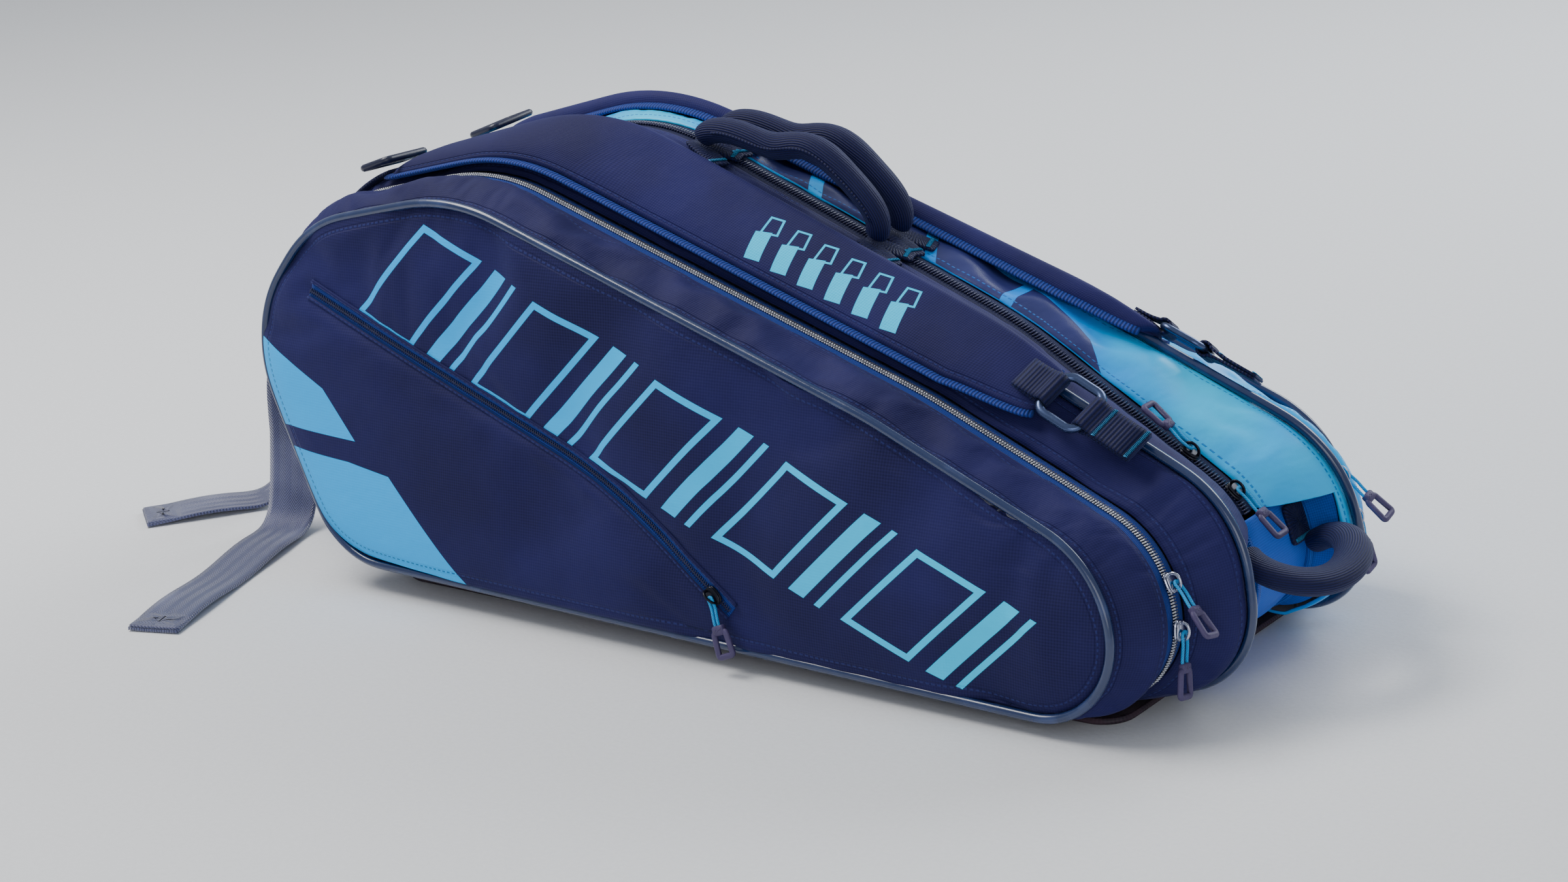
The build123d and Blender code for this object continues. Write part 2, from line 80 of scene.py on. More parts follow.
MM = 0.001
PIPING_R = 3.0 * MM
TAPE_INSET = 4.0 * MM      # zip tapes lie this far inside their seam's outline
TAPE_T = 0.8 * MM
LINING_T = 2.0 * MM
STITCH_IN = 6.5 * MM       # from a fabric's rim to its stitching
RIM_IN = 3.4 * MM          # a band's rims lie this far inside its seams
FULLNESS = 6.5 * MM        # how far the outer and middle bands swell out
STEPS = 720                # samples kept along each seam
COLUMNS = 336              # columns of a fabric sheet round the bag
INSIDE = Vector((0.02, 0.0, 0.13))   # a point in the middle of the bag
NEAR, FAR = "near", "far"
SIGN = {NEAR: -1, FAR: 1}  # the way each side lies along Y


# ---- numbers measured from the frame ------------------------------------------
def points(node):
    """Vertices of a CAD node, as an array."""
    mesh = frame["nodes"][node].data
    flat = np.empty(len(mesh.vertices) * 3)
    mesh.vertices.foreach_get("co", flat)
    return flat.reshape(-1, 3)


def joint(name):
    return next(j for j in frame["record"]["behaviour"]["joints"] if j["name"] == name)


def unit(v):
    v = np.asarray(v, float)
    return v / np.linalg.norm(v, axis=-1, keepdims=True)


def hull(p):
    """Convex hull of flat points, counter-clockwise."""
    ordered = sorted(set(map(tuple, np.round(p, 6))))

    def half(run):
        out = []
        for q in run:
            while len(out) > 1:
                (ax, az), (bx, bz) = out[-2], out[-1]
                if (bx - ax) * (q[1] - az) > (bz - az) * (q[0] - ax):
                    break
                out.pop()
            out.append(q)
        return out[:-1]

    return np.array(half(ordered) + half(ordered[::-1]))


class Seam:
    """A closed seam in a leaning plane: y = foot + lean * z. Its samples are evenly spaced in u."""

    def __init__(self, flat, foot, lean):
        self.flat, self.foot, self.lean = flat, foot, lean
        ahead = np.roll(flat, -1, 0) - np.roll(flat, 1, 0)
        self.out = unit(np.c_[ahead[:, 1], -ahead[:, 0]])

    def at(self, u, out=0.0, dy=0.0):
        """Points at u, moved outwards by out and towards +Y by dy."""
        u = np.asarray(u, float) % 1.0
        grid = np.linspace(0, 1, STEPS + 1)
        x, z, nx, nz = (
            np.interp(u, grid, np.append(column, column[0]))
            for column in (*self.flat.T, *self.out.T)
        )
        x = x + nx * out
        z = z + nz * out
        return np.stack([x, self.foot + self.lean * z + dy, z], -1)

    def outward(self, u):
        return unit(self.at(u, 0.001) - self.at(u, 0.0))

    def top_u(self, x):
        """The u where the top of the seam passes over x."""
        u = np.linspace(0.2, 0.8, 1201)
        return u[np.argmin(np.abs(self.at(u)[:, 0] - x))]


def mix(a, b, t):
    """The seam a share t of the way from a to b."""
    pairs = (a.flat, b.flat), (a.foot, b.foot), (a.lean, b.lean)
    return Seam(*(one + (two - one) * t for one, two in pairs))


def run_length(line):
    """The length along a line at each of its points."""
    return np.append(0, np.cumsum(np.linalg.norm(np.diff(line, axis=0), axis=1)))


def at_lengths(line, where):
    """Points of a line at the given lengths along it."""
    length = run_length(line)
    return np.stack([np.interp(where, length, column) for column in line.T], -1)


def smooth_loop(p, reach):
    """A moving average along a closed loop."""
    window = range(-reach, reach + 1)
    return sum(np.roll(p, k, 0) for k in window) / len(window)


def seam_through(flat, shrink, foot, lean):
    """The seam a distance shrink inside the hull of flat points.

    u runs counter-clockwise from the bottom, half by length and half by turning, so that
    corners of neighbouring seams fall on the same u.
    """
    loop = hull(flat)
    closed = np.vstack([loop, loop[:1]])
    where = np.linspace(0, run_length(closed)[-1], 4 * STEPS, endpoint=False)
    even = smooth_loop(at_lengths(closed, where), 12)
    ahead = np.roll(even, -1, 0) - np.roll(even, 1, 0)
    even = even - unit(np.c_[ahead[:, 1], -ahead[:, 0]]) * shrink
    start = np.argmin(np.abs(even[:, 0] - 0.06) + (even[:, 1] > 0.1))
    even = np.roll(even, -start, 0)
    ahead = np.roll(even, -1, 0) - np.roll(even, 1, 0)
    angle = np.unwrap(np.arctan2(ahead[:, 1], ahead[:, 0]))
    turn = np.maximum.accumulate((angle - angle[0]) / math.tau)
    step = np.hypot(*(np.roll(even, -1, 0) - even).T)
    arc = np.append(0, np.cumsum(step))
    u = 0.5 * arc[:-1] / arc[-1] + 0.5 * np.clip(turn, 0, 1)
    u = np.append(u, 1.0)
    even = np.vstack([even, even[:1]])
    target = np.linspace(0, 1, STEPS, endpoint=False)
    return Seam(np.c_[np.interp(target, u, even[:, 0]), np.interp(target, u, even[:, 1])], foot, lean)


def plane_of(p):
    """foot and lean of the plane through points."""
    lean, foot = np.polyfit(p[:, 2], p[:, 1], 1)
    return foot, lean


def piping_seam(node):
    p = points(node)
    return seam_through(p[:, [0, 2]], PIPING_R, *plane_of(p))


def zip_seam():
    p = points("near_body_zip_tape")
    foot, lean = plane_of(p)
    p = p[p[:, 1] < foot + lean * p[:, 2]]
    return seam_through(p[:, [0, 2]], -TAPE_INSET, *plane_of(p))


def middle_seam():
    p = np.vstack([points("near_centre_zip_tape"), points("end_gusset")])
    return seam_through(p[:, [0, 2]], -TAPE_INSET, 0.0, 0.0)


PANEL = piping_seam("near_panel_piping")
ZIP = zip_seam()
DIVIDER = piping_seam("near_divider_piping")
MIDDLE = middle_seam()

HINGE = Vector(joint("near_lid_open")["pos_m"])
LID_CUT = math.radians(28)
LID_CUT_NORMAL = Vector((0, -math.sin(LID_CUT), math.cos(LID_CUT)))


def corners_of(node):
    """The two opposite corners of a node's box."""
    return (Vector(c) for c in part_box(node))


GUSSET_LOW, GUSSET_HIGH = corners_of("end_gusset")
GUSSET_X = GUSSET_LOW.x
GUSSET_Y = GUSSET_HIGH.y
GUSSET_Z = GUSSET_HIGH.z
BASE_LOW, BASE_HIGH = corners_of("base_panel")


def mirror(p, side):
    """Near-side points, put on the given side."""
    return p if side == NEAR else p * np.array([1, -1, 1])


# ---- mesh helpers ----------------------------------------------------------------
def new_object(name, vertices, faces, material, uvs=None):
    """A smooth mesh object; uvs maps a layer's name to one (u, v) per face corner."""
    mesh = bpy.data.meshes.new(name)
    mesh.from_pydata([tuple(v) for v in vertices], [], [tuple(f) for f in faces])
    for layer_name, values in (uvs or {}).items():
        layer = mesh.uv_layers.new(name=layer_name)
        layer.data.foreach_set("uv", np.asarray(values, np.float32).ravel())
    mesh.materials.append(material)
    mesh.polygons.foreach_set("use_smooth", [True] * len(mesh.polygons))
    mesh.update()
    obj = bpy.data.objects.new(name, mesh)
    scene.collection.objects.link(obj)
    return obj


def sheet(name, rows, material, closed=True, closed_rows=False, flat=False, turn=None):
    """Fabric through rows of points. closed joins each row's end to its start.

    Layer UVMap holds metres along and across (or x and z if flat), and layer Rim holds the
    distances from the first and the last row. turn is a point the faces look away from.
    """
    rows = np.asarray(rows, float)
    if closed_rows:
        rows = np.concatenate([rows, rows[:1]])
    count, width = rows.shape[:2]
    ring = np.concatenate([rows, rows[:, :1]], 1) if closed else rows
    spans = ring.shape[1] - 1
    middle = ring[count // 2]
    along = run_length(middle)
    steps = np.linalg.norm(np.diff(ring, axis=0), axis=2)
    across = np.vstack([np.zeros(spans + 1), np.cumsum(steps, 0)])
    real = count - 1 if closed_rows else count
    r, c = (a.ravel() for a in np.meshgrid(np.arange(count - 1), np.arange(spans), indexing="ij"))
    corners = [(r, c), (r, c + 1), (r + 1, c + 1), (r + 1, c)]
    index = np.stack([(rr % real) * width + cc % width for rr, cc in corners], -1)
    if flat:
        weave = np.stack([ring[rr, cc][:, [0, 2]] for rr, cc in corners], 1)
    else:
        weave = np.stack([np.stack([along[cc], across[rr, cc]], -1) for rr, cc in corners], 1)
    depth = np.stack([across, across[-1] - across], -1)
    rim = np.stack([depth[rr, cc] for rr, cc in corners], 1)
    vertices = rows[:real].reshape(-1, 3)
    if turn is not None:
        a, b, d = (vertices[index[:, k]] for k in (0, 1, 3))
        facing = np.einsum("ij,ij->i", np.cross(b - a, d - a), a - np.array(turn)).sum()
        if facing < 0:
            index, weave, rim = index[:, ::-1], weave[:, ::-1], rim[:, ::-1]
    layers = {"UVMap": weave.reshape(-1, 2), "Rim": rim.reshape(-1, 2)}
    return new_object(name, vertices, index, material, layers)


def tube(name, path, radius, material, sides=12, closed=False, squeeze=None, up=None):
    """A round tube along a path; squeeze gives its width and thickness as shares of the radius."""
    path = np.asarray(path, float)
    if closed:
        ahead = np.roll(path, -1, 0) - np.roll(path, 1, 0)
    else:
        ahead = np.gradient(path, axis=0)
    ahead = unit(ahead)
    if up is None:
        up = [0.0, 1.0, 0.0]
    side = unit(np.cross(ahead, np.broadcast_to(up, path.shape)))
    top = np.cross(side, ahead)
    radius = np.broadcast_to(radius, len(path))[:, None]
    wide, thick = squeeze or (1.0, 1.0)
    rows = []
    for k in range(sides):
        a = math.tau * k / sides
        rows.append(path + side * radius * math.cos(a) * wide + top * radius * math.sin(a) * thick)
    obj = sheet(name, rows, material, closed=closed, closed_rows=True)
    if not closed:
        cap_ends(obj)
    fix_normals(obj)
    return obj


@contextmanager
def editing(obj):
    """Hands out an object's mesh as a bmesh and writes it back."""
    bm = bmesh.new()
    bm.from_mesh(obj.data)
    yield bm
    bm.to_mesh(obj.data)
    bm.free()


def cap_ends(obj):
    """Fills a mesh's open ends."""
    with editing(obj) as bm:
        bmesh.ops.holes_fill(bm, edges=[e for e in bm.edges if e.is_boundary], sides=0)
    obj.data.polygons.foreach_set("use_smooth", [True] * len(obj.data.polygons))


def fix_normals(obj):
    with editing(obj) as bm:
        bmesh.ops.recalc_face_normals(bm, faces=bm.faces)


def flip(obj):
    with editing(obj) as bm:
        bmesh.ops.reverse_faces(bm, faces=bm.faces)


def closed_sheet(name, rings, material):
    """A solid skin through closed rings, with both ends filled."""
    obj = sheet(name, rings, material)
    cap_ends(obj)
    fix_normals(obj)
    return obj


def coords(obj):
    flat = np.empty(len(obj.data.vertices) * 3)
    obj.data.vertices.foreach_get("co", flat)
    return flat.reshape(-1, 3)


def set_coords(obj, p):
    obj.data.vertices.foreach_set("co", np.ascontiguousarray(p, dtype=np.float32).ravel())
    obj.data.update()


def settle(obj):
    """Turns an object's modifiers into its mesh."""
    graph = bpy.context.evaluated_depsgraph_get()
    skin = obj.evaluated_get(graph)
    mesh = bpy.data.meshes.new_from_object(skin, preserve_all_data_layers=True, depsgraph=graph)
    obj.modifiers.clear()
    old = obj.data
    obj.data = mesh
    bpy.data.meshes.remove(old)
    mesh.name = obj.name


def refine(obj):
    """Subdivides a mesh once, smoothly."""
    modifier = obj.modifiers.new("subdivide", "SUBSURF")
    modifier.levels = 1
    modifier.render_levels = 1
    settle(obj)


def thicken(obj, thickness, lining=None, padding=None, offset=-1):
    """Gives a sheet its thickness, inwards or (offset 0) both ways.

    lining is the material of its inner face, and padding holds each vertex's share of the thickness.
    """
    modifier = obj.modifiers.new("thickness", "SOLIDIFY")
    if padding is not None:
        group = obj.vertex_groups.new(name="padding")
        for index, share in enumerate(padding):
            group.add([index], float(share), "REPLACE")
        modifier.vertex_group = group.name
    modifier.thickness = thickness
    modifier.offset = offset
    if lining is not None:
        obj.data.materials.append(lining)
        modifier.material_offset = 1


def bisect(bm, point, normal, **options):
    everything = bm.verts[:] + bm.edges[:] + bm.faces[:]
    bmesh.ops.bisect_plane(bm, geom=everything, plane_co=point, plane_no=normal, **options)


def keep_side(obj, point, normal):
    """Cuts a mesh by a plane and keeps the side the normal points to."""
    with editing(obj) as bm:
        bisect(bm, point, normal, clear_inner=True)


def within(p, low, high):
    """True if p is inside a box; the box's open sides are None."""
    return all((a is None or v > a) and (b is None or v < b) for v, a, b in zip(p, low, high))


def cut_box(obj, low, high):
    """Removes the part of a sheet inside a box."""
    with editing(obj) as bm:
        for axis in range(3):
            normal = Vector([1.0 if k == axis else 0.0 for k in range(3)])
            for limit in (low[axis], high[axis]):
                if limit is not None:
                    bisect(bm, normal * limit, normal)
        inside = [face for face in bm.faces if within(face.calc_center_median(), low, high)]
        bmesh.ops.delete(bm, geom=inside, context="FACES")


def copy_of(obj, name):
    twin = obj.copy()
    twin.data = obj.data.copy()
    twin.name = name
    twin.data.name = name
    scene.collection.objects.link(twin)
    return twin


def place(obj, body, *nodes, slot=None):
    """Puts a finished piece on its body, in place of its CAD nodes."""
    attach(obj, body)
    if nodes:
        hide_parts(*nodes)
    return obj


# ---- cloth -------------------------------------------------------------------------
soft_pieces = []


def make_soft(obj, pins, pressure, slack, cap):
    """Queues a sheet for the cloth simulation, held at the pinned vertices."""
    group = obj.vertex_groups.new(name="pins")
    group.add([int(i) for i in pins], 1.0, "REPLACE")
    cloth = obj.modifiers.new("Cloth", "CLOTH").settings
    cloth.quality = 7
    cloth.mass = 0.25
    cloth.tension_stiffness = 20
    cloth.compression_stiffness = 20
    cloth.shear_stiffness = 8
    cloth.bending_stiffness = 0.4
    cloth.air_damping = 3
    cloth.use_pressure = True
    cloth.uniform_pressure_force = pressure
    cloth.shrink_min = -slack
    cloth.vertex_group_mass = "pins"
    cloth.effector_weights.gravity = 0
    soft_pieces.append((obj, cap))


def run_cloth():
    """Steps every queued sheet together, caps how far it moved and keeps the result."""
    frames = 20
    start = {obj.name: coords(obj) for obj, _ in soft_pieces}
    for number in range(1, frames + 1):
        scene.frame_set(number)
    graph = bpy.context.evaluated_depsgraph_get()
    results = {}
    for obj, cap in soft_pieces:
        moved = coords(obj.evaluated_get(graph))
        step = moved - start[obj.name]
        size = np.linalg.norm(step, axis=1, keepdims=True)
        results[obj.name] = start[obj.name] + step * np.minimum(1, cap / np.maximum(size, 1e-9))
    for obj, _ in soft_pieces:
        obj.modifiers.clear()
        obj.vertex_groups.clear()
        set_coords(obj, results[obj.name])
    scene.frame_set(1)


# ---- materials -----------------------------------------------------------------------
PRINT_EDGE = 0.4 * MM      # the soft edge of a print


class Graph:
    """A material's node graph, built with short calls that each return a socket."""

    def __init__(self, name):
        self.material = bpy.data.materials.new(name)
        self.material.use_nodes = True
        self.tree = self.material.node_tree
        self.tree.nodes.clear()
        output = self.tree.nodes.new("ShaderNodeOutputMaterial")
        self.shader = self.tree.nodes.new("ShaderNodeBsdfPrincipled")
        self.tree.links.new(self.shader.outputs[0], output.inputs[0])

    def put(self, socket, value):
        if isinstance(value, bpy.types.NodeSocket):
            self.tree.links.new(value, socket)
        elif value is not None:
            socket.default_value = value

    def set(self, **values):
        for name, value in values.items():
            self.put(self.shader.inputs[name.replace("_", " ")], value)

    def math(self, operation, a, b=None, c=None):
        node = self.tree.nodes.new("ShaderNodeMath")
        node.operation = operation
        for socket, value in zip(node.inputs, (a, b, c)):
            self.put(socket, value)
        return node.outputs[0]

    def total(self, *values):
        result = values[0]
        for value in values[1:]:
            result = self.math("ADD", result, value)
        return result

    def times(self, a, b):
        return self.math("MULTIPLY", a, b)

    def split(self, vector):
        node = self.tree.nodes.new("ShaderNodeSeparateXYZ")
        self.put(node.inputs[0], vector)
        return node.outputs[0], node.outputs[1], node.outputs[2]

    def uv(self, layer="UVMap"):
        node = self.tree.nodes.new("ShaderNodeUVMap")
        node.uv_map = layer
        return self.split(node.outputs[0])[:2]

    def place(self):
        return self.tree.nodes.new("ShaderNodeTexCoord").outputs["Object"]

    def noise(self, scale, detail=3.0, vector=None, stretch=None):
        node = self.tree.nodes.new("ShaderNodeTexNoise")
        node.inputs["Scale"].default_value = scale
        node.inputs["Detail"].default_value = detail
        vector = vector or self.place()
        if stretch:
            scaler = self.tree.nodes.new("ShaderNodeMapping")
            scaler.inputs["Scale"].default_value = stretch
            self.put(scaler.inputs["Vector"], vector)
            vector = scaler.outputs[0]
        self.put(node.inputs["Vector"], vector)
        return node.outputs[0]

    def between(self, value, low, high, to_low=0.0, to_high=1.0):
        """value, mapped smoothly from low..high to to_low..to_high."""
        node = self.tree.nodes.new("ShaderNodeMapRange")
        node.interpolation_type = "SMOOTHSTEP"
        for socket, v in zip(node.inputs, (value, low, high, to_low, to_high)):
            self.put(socket, v)
        return node.outputs[0]

    def mix(self, share, a, b):
        node = self.tree.nodes.new("ShaderNodeMix")
        node.data_type = "RGBA"
        self.put(node.inputs[0], share)
        for socket, colour in ((node.inputs[6], a), (node.inputs[7], b)):
            self.put(socket, colour if isinstance(colour, bpy.types.NodeSocket) else (*colour, 1.0))
        return node.outputs[2]

    def bump(self, height, depth, normal=None):
        node = self.tree.nodes.new("ShaderNodeBump")
        node.inputs["Strength"].default_value = 1.0
        node.inputs["Distance"].default_value = depth
        self.put(node.inputs["Height"], height)
        self.put(node.inputs["Normal"], normal)
        return node.outputs[0]

    def waves(self, value, pitch):
        """0 to 1 and back, once for every pitch along value."""
        return self.times(self.total(self.math("SINE", self.times(value, math.tau / pitch)), 1.0), 0.5)

    def ridge(self, value, at, width):
        """1 on a line of the given width, where value equals at."""
        away = self.math("ABSOLUTE", self.math("SUBTRACT", value, at))
        return self.between(away, width * 0.35, width * 0.65, 1.0, 0.0)

    def inside(self, x, y, polygon):
        """Depth inside a convex polygon, listed counter-clockwise."""
        depth = None
        for (ax, ay), (bx, by) in zip(polygon, polygon[1:] + polygon[:1]):
            size = math.hypot(bx - ax, by - ay)
            nx, ny = -(by - ay) / size, (bx - ax) / size
            plane = self.total(self.times(x, nx), self.times(y, ny), -(ax * nx + ay * ny))
            depth = plane if depth is None else self.math("MINIMUM", depth, plane)
        return depth

    def filled(self, depth):
        return self.between(depth, 0.0, PRINT_EDGE)

    def outlined(self, depth, width):
        inner = self.between(depth, width, width + PRINT_EDGE, 1.0, 0.0)
        return self.times(self.filled(depth), inner)

    def either(self, masks):
        result = masks[0]
        for mask in masks[1:]:
            result = self.math("MAXIMUM", result, mask)
        return result

    def stitches(self, along, away, offset, pitch=0.0042):
        """A dashed line of thread at a distance from a rim."""
        dash = self.between(self.waves(along, pitch), 0.3, 0.45)
        return self.times(self.ridge(away, offset, 0.0011), dash)


def colour(r, g, b):
    """Linear colour from sRGB bytes."""
    shares = [c / 255 for c in (r, g, b)]
    return tuple(c / 12.92 if c <= 0.04 else ((c + 0.055) / 1.055) ** 2.4 for c in shares)


NAVY = colour(28, 28, 80)
NAVY_DARK = colour(17, 17, 56)
CYAN = colour(0, 178, 255)
CYAN_FABRIC = colour(0, 142, 244)
CYAN_LIGHT = colour(0, 208, 255)
PRINT_DARK = colour(14, 20, 62)
ROYAL = colour(27, 63, 156)
WEBBING_NAVY = colour(14, 20, 72)
THREAD = colour(44, 52, 110)
GUSSET_BLUE = colour(34, 104, 206)
ROLLED_NAVY = colour(14, 20, 76)


def weave(g, pitch):
    """Height of a fine grid weave."""
    u, v = g.uv()
    return g.times(g.total(g.waves(u, pitch), g.waves(v, pitch)), 0.5)


def fabric(name, base, shade, prints=None, roughness=0.7, pitch=1.6 * MM, stitch="both", wrinkle=0.6):
    """Woven polyester: a fine grid weave, soft creases and stitching by the rims.

    stitch is "both" for a band's two rims, "rim" for a panel's single one, or None.
    """
    g = Graph(name)
    u, _ = g.uv()
    first, last = g.uv("Rim")
    fine = weave(g, pitch)
    cloud = g.noise(9.0, 4.0)
    grain = g.noise(900.0, 2.0)
    crease = g.noise(38.0, 3.0, stretch=(1.0, 0.45, 1.6))
    tone = g.mix(g.between(cloud, 0.3, 0.7), base, shade)
    tone = g.mix(g.times(fine, 0.35), tone, tuple(min(1, c * 1.7 + 0.01) for c in base))
    rough = g.total(g.times(grain, 0.12), roughness - 0.06)
    if prints is not None:
        mask, ink = prints(g)
        tone = g.mix(mask, tone, ink)
        rough = g.math("SUBTRACT", rough, g.times(mask, 0.12))
    height = g.total(g.times(fine, 0.10), g.times(grain, 0.05), g.times(crease, wrinkle * 3.0))
    if stitch:
        if stitch == "both":
            line = g.either([g.stitches(u, rim, STITCH_IN) for rim in (first, last)])
            groove = g.either([g.ridge(rim, STITCH_IN, 3 * MM) for rim in (first, last)])
        else:
            line = g.stitches(last, first, STITCH_IN)
            groove = g.ridge(first, STITCH_IN, 3 * MM)
        tone = g.mix(g.times(line, 0.65), tone, THREAD)
        height = g.total(height, g.times(line, 0.25), g.times(groove, -0.45))
    g.set(Base_Color=tone, Roughness=rough, Normal=g.bump(height, MM), Specular_IOR_Level=0.18)
    g.set(Sheen_Weight=0.07, Sheen_Roughness=0.45, Sheen_Tint=(0.4, 0.45, 0.95, 1.0))
    return g.material


def coated(name, prints=None):
    """Smooth coated fabric in cyan-blue, lightly glossy, with soft dents."""
    g = Graph(name)
    u, _ = g.uv()
    first, last = g.uv("Rim")
    cloud = g.noise(7.0, 3.0)
    dent = g.noise(30.0, 3.0, stretch=(1.0, 0.5, 1.5))
    grain = g.noise(1400.0, 2.0)
    tone = g.mix(g.between(cloud, 0.3, 0.75), CYAN_FABRIC, CYAN_LIGHT)
    rough = g.total(0.33, g.times(grain, 0.12))
    if prints is not None:
        mask, ink = prints(g)
        tone = g.mix(mask, tone, ink)
    line = g.either([g.stitches(u, rim, 6 * MM) for rim in (first, last)])
    tone = g.mix(g.times(line, 0.8), tone, colour(30, 110, 200))
    height = g.total(g.times(dent, 2.2), g.times(grain, 0.06), g.times(line, 0.3))
    g.set(Base_Color=tone, Roughness=rough, Normal=g.bump(height, MM), Coat_Weight=0.12, Coat_Roughness=0.3)
    g.set(Specular_IOR_Level=0.3)
    return g.material


def ribbed(name, base, shade, pitch=0.0022, roughness=0.6, across=True, depth=0.35):
    """Webbing or grosgrain: ribs across its length and a fine twill between them."""
    g = Graph(name)
    u, v = g.uv()
    rib = g.waves(u if across else v, pitch)
    twill = g.waves(g.total(u, v), pitch * 0.5)
    grain = g.noise(1200.0, 2.0)
    cloud = g.noise(20.0, 3.0)
    tone = g.mix(rib, shade, base)
    tone = g.mix(g.times(g.between(cloud, 0.35, 0.7), 0.4), tone, tuple(c * 0.6 for c in base))
    height = g.total(g.times(rib, depth), g.times(twill, 0.08), g.times(grain, 0.08))
    rough = g.total(roughness - 0.06, g.times(grain, 0.14))
    g.set(Base_Color=tone, Roughness=rough, Normal=g.bump(height, MM))
    g.set(Sheen_Weight=0.1, Sheen_Roughness=0.4, Sheen_Tint=(0.4, 0.5, 1.0, 1.0), Specular_IOR_Level=0.25)
    return g.material


def zip_tape(name, base, shade):
    return ribbed(name, base, shade, pitch=1.4 * MM, across=False, depth=0.2)


def twill_webbing(name):
    """Seat-belt webbing: a herringbone twill with a silvery shine, from the shader and from pale patches of
    painted highlight in its colour.
    """
    g = Graph(name)
    u, v = g.uv()
    lane = g.math("ABSOLUTE", g.math("SUBTRACT", g.math("MODULO", g.total(v, 1.0), 0.0096), 0.0048))
    twill = g.waves(g.total(u, g.times(lane, 1.4)), 0.0024)
    grain = g.noise(900.0, 2.0)
    painted_sheen = g.noise(14.0, 2.0)
    tone = g.mix(twill, colour(22, 27, 70), colour(78, 84, 128))
    # Painted highlight: a noise mixes pale silvery patches of light into the colour.
    tone = g.mix(g.between(painted_sheen, 0.45, 0.75), tone, colour(110, 114, 150))
    height = g.total(g.times(twill, 0.3), g.times(grain, 0.08))
    rough = g.total(0.3, g.times(grain, 0.15))
    g.set(Base_Color=tone, Roughness=rough, Normal=g.bump(height, MM), Sheen_Weight=0.5)
    return g.material


def lining_fabric():
    """Padded lining: a dark brushed knit, quilted in diamonds."""
    g = Graph("lining")
    u, v = g.uv()
    grain = g.noise(700.0, 3.0)
    one = g.waves(g.total(u, v), 0.055)
    two = g.waves(g.math("SUBTRACT", u, v), 0.055)
    quilt = g.math("MAXIMUM", g.between(one, 0.985, 1.0), g.between(two, 0.985, 1.0))
    tone = g.mix(grain, colour(48, 50, 66), colour(84, 86, 104))
    tone = g.mix(g.times(quilt, 0.6), tone, colour(24, 26, 40))
    height = g.total(g.times(grain, 0.1), g.times(quilt, -0.8))
    g.set(Base_Color=tone, Roughness=0.9, Normal=g.bump(height, MM), Sheen_Weight=0.4)
    return g.material


def base_fabric():
    """Coarse coated weave of the base, dark with a maroon tint and scuffed."""
    g = Graph("base_fabric")
    fine = weave(g, 0.0026)
    wear = g.noise(60.0, 5.0)
    tone = g.mix(g.between(wear, 0.35, 0.7), colour(34, 24, 36), colour(66, 46, 58))
    tone = g.mix(g.times(fine, 0.4), tone, colour(84, 62, 76))
    g.set(Base_Color=tone, Roughness=g.between(wear, 0.3, 0.7, 0.55, 0.8), Normal=g.bump(fine, 0.3 * MM))
    return g.material


def piping_cover(name, base):
    """Glossy coated cord, slightly crinkled."""
    g = Graph(name)
    crinkle = g.noise(240.0, 3.0)
    dust = g.noise(30.0, 4.0)
    tone = g.mix(g.between(dust, 0.5, 0.8), base, tuple(c * 1.8 + 0.01 for c in base))
    rough = g.between(dust, 0.3, 0.7, 0.16, 0.3)
    g.set(Base_Color=tone, Roughness=rough, Normal=g.bump(crinkle, 0.12 * MM))
    g.set(Coat_Weight=0.5, Coat_Roughness=0.15)
    return g.material


def moulded(name, base, roughness, metallic=0.0, scratch=0.15):
    """Moulded plastic, rubber or satin metal, with fine pitting and rubbed edges."""
    g = Graph(name)
    pits = g.noise(1500.0, 3.0)
    rub = g.noise(70.0, 5.0)
    tone = g.mix(g.times(g.between(rub, 0.5, 0.8), 0.5), base, tuple(min(1, c * 1.6 + 0.02) for c in base))
    rough = g.between(rub, 0.3, 0.8, roughness - 0.07, roughness + 0.1)
    g.set(Base_Color=tone, Roughness=rough, Metallic=metallic, Normal=g.bump(pits, scratch * MM))
    return g.material


def thread_cord(name, base):
    """Braided cord."""
    g = Graph(name)
    u, v = g.uv()
    braid = g.times(g.waves(g.total(u, v), 0.0016), g.waves(g.math("SUBTRACT", u, v), 0.0016))
    tone = g.mix(braid, tuple(c * 0.55 for c in base), base)
    g.set(Base_Color=tone, Roughness=g.between(braid, 0, 1, 0.65, 0.45), Normal=g.bump(braid, 0.25 * MM))
    return g.material


# ---- prints -----------------------------------------------------------------------------
def mm(polygon):
    return [(x * MM, y * MM) for x, y in polygon]


def panel_prints(g):
    """Cyan colour blocks at the tall end and a run of outlined and solid slashes below the crest."""
    x, z = g.uv()
    blocks = [
        [(-330, 110), (-236, 108), (-266, 141), (-300, 157), (-330, 170)],
        [(-250, 20), (-142, 20), (-206, 88), (-244, 93), (-330, 96), (-286, 30)],
    ]
    masks = [g.filled(g.inside(x, z, mm(b))) for b in blocks]
    slope = math.radians(-20.5)
    px, pz = g.total(x, 0.222), g.total(z, -0.236)
    p = g.total(g.times(px, math.cos(slope)), g.times(pz, math.sin(slope)))
    q = g.total(g.times(pz, math.cos(slope)), g.times(px, -math.sin(slope)))
    lean = 34
    for k in range(5):
        half = 41 - 1.5 * k
        for start, wide in ((0, 54), (66, 13), (87, 5)):
            left = 108 * k + start
            right = left + wide
            corners = [(left, -half), (right, -half), (right + lean, half), (left + lean, half)]
            slash = g.inside(p, q, mm(corners))
            masks.append(g.filled(slash) if start else g.outlined(slash, 4.4 * MM))
    glow = g.between(x, -0.2, 0.32)
    return g.either(masks), g.mix(glow, CYAN, CYAN_LIGHT)


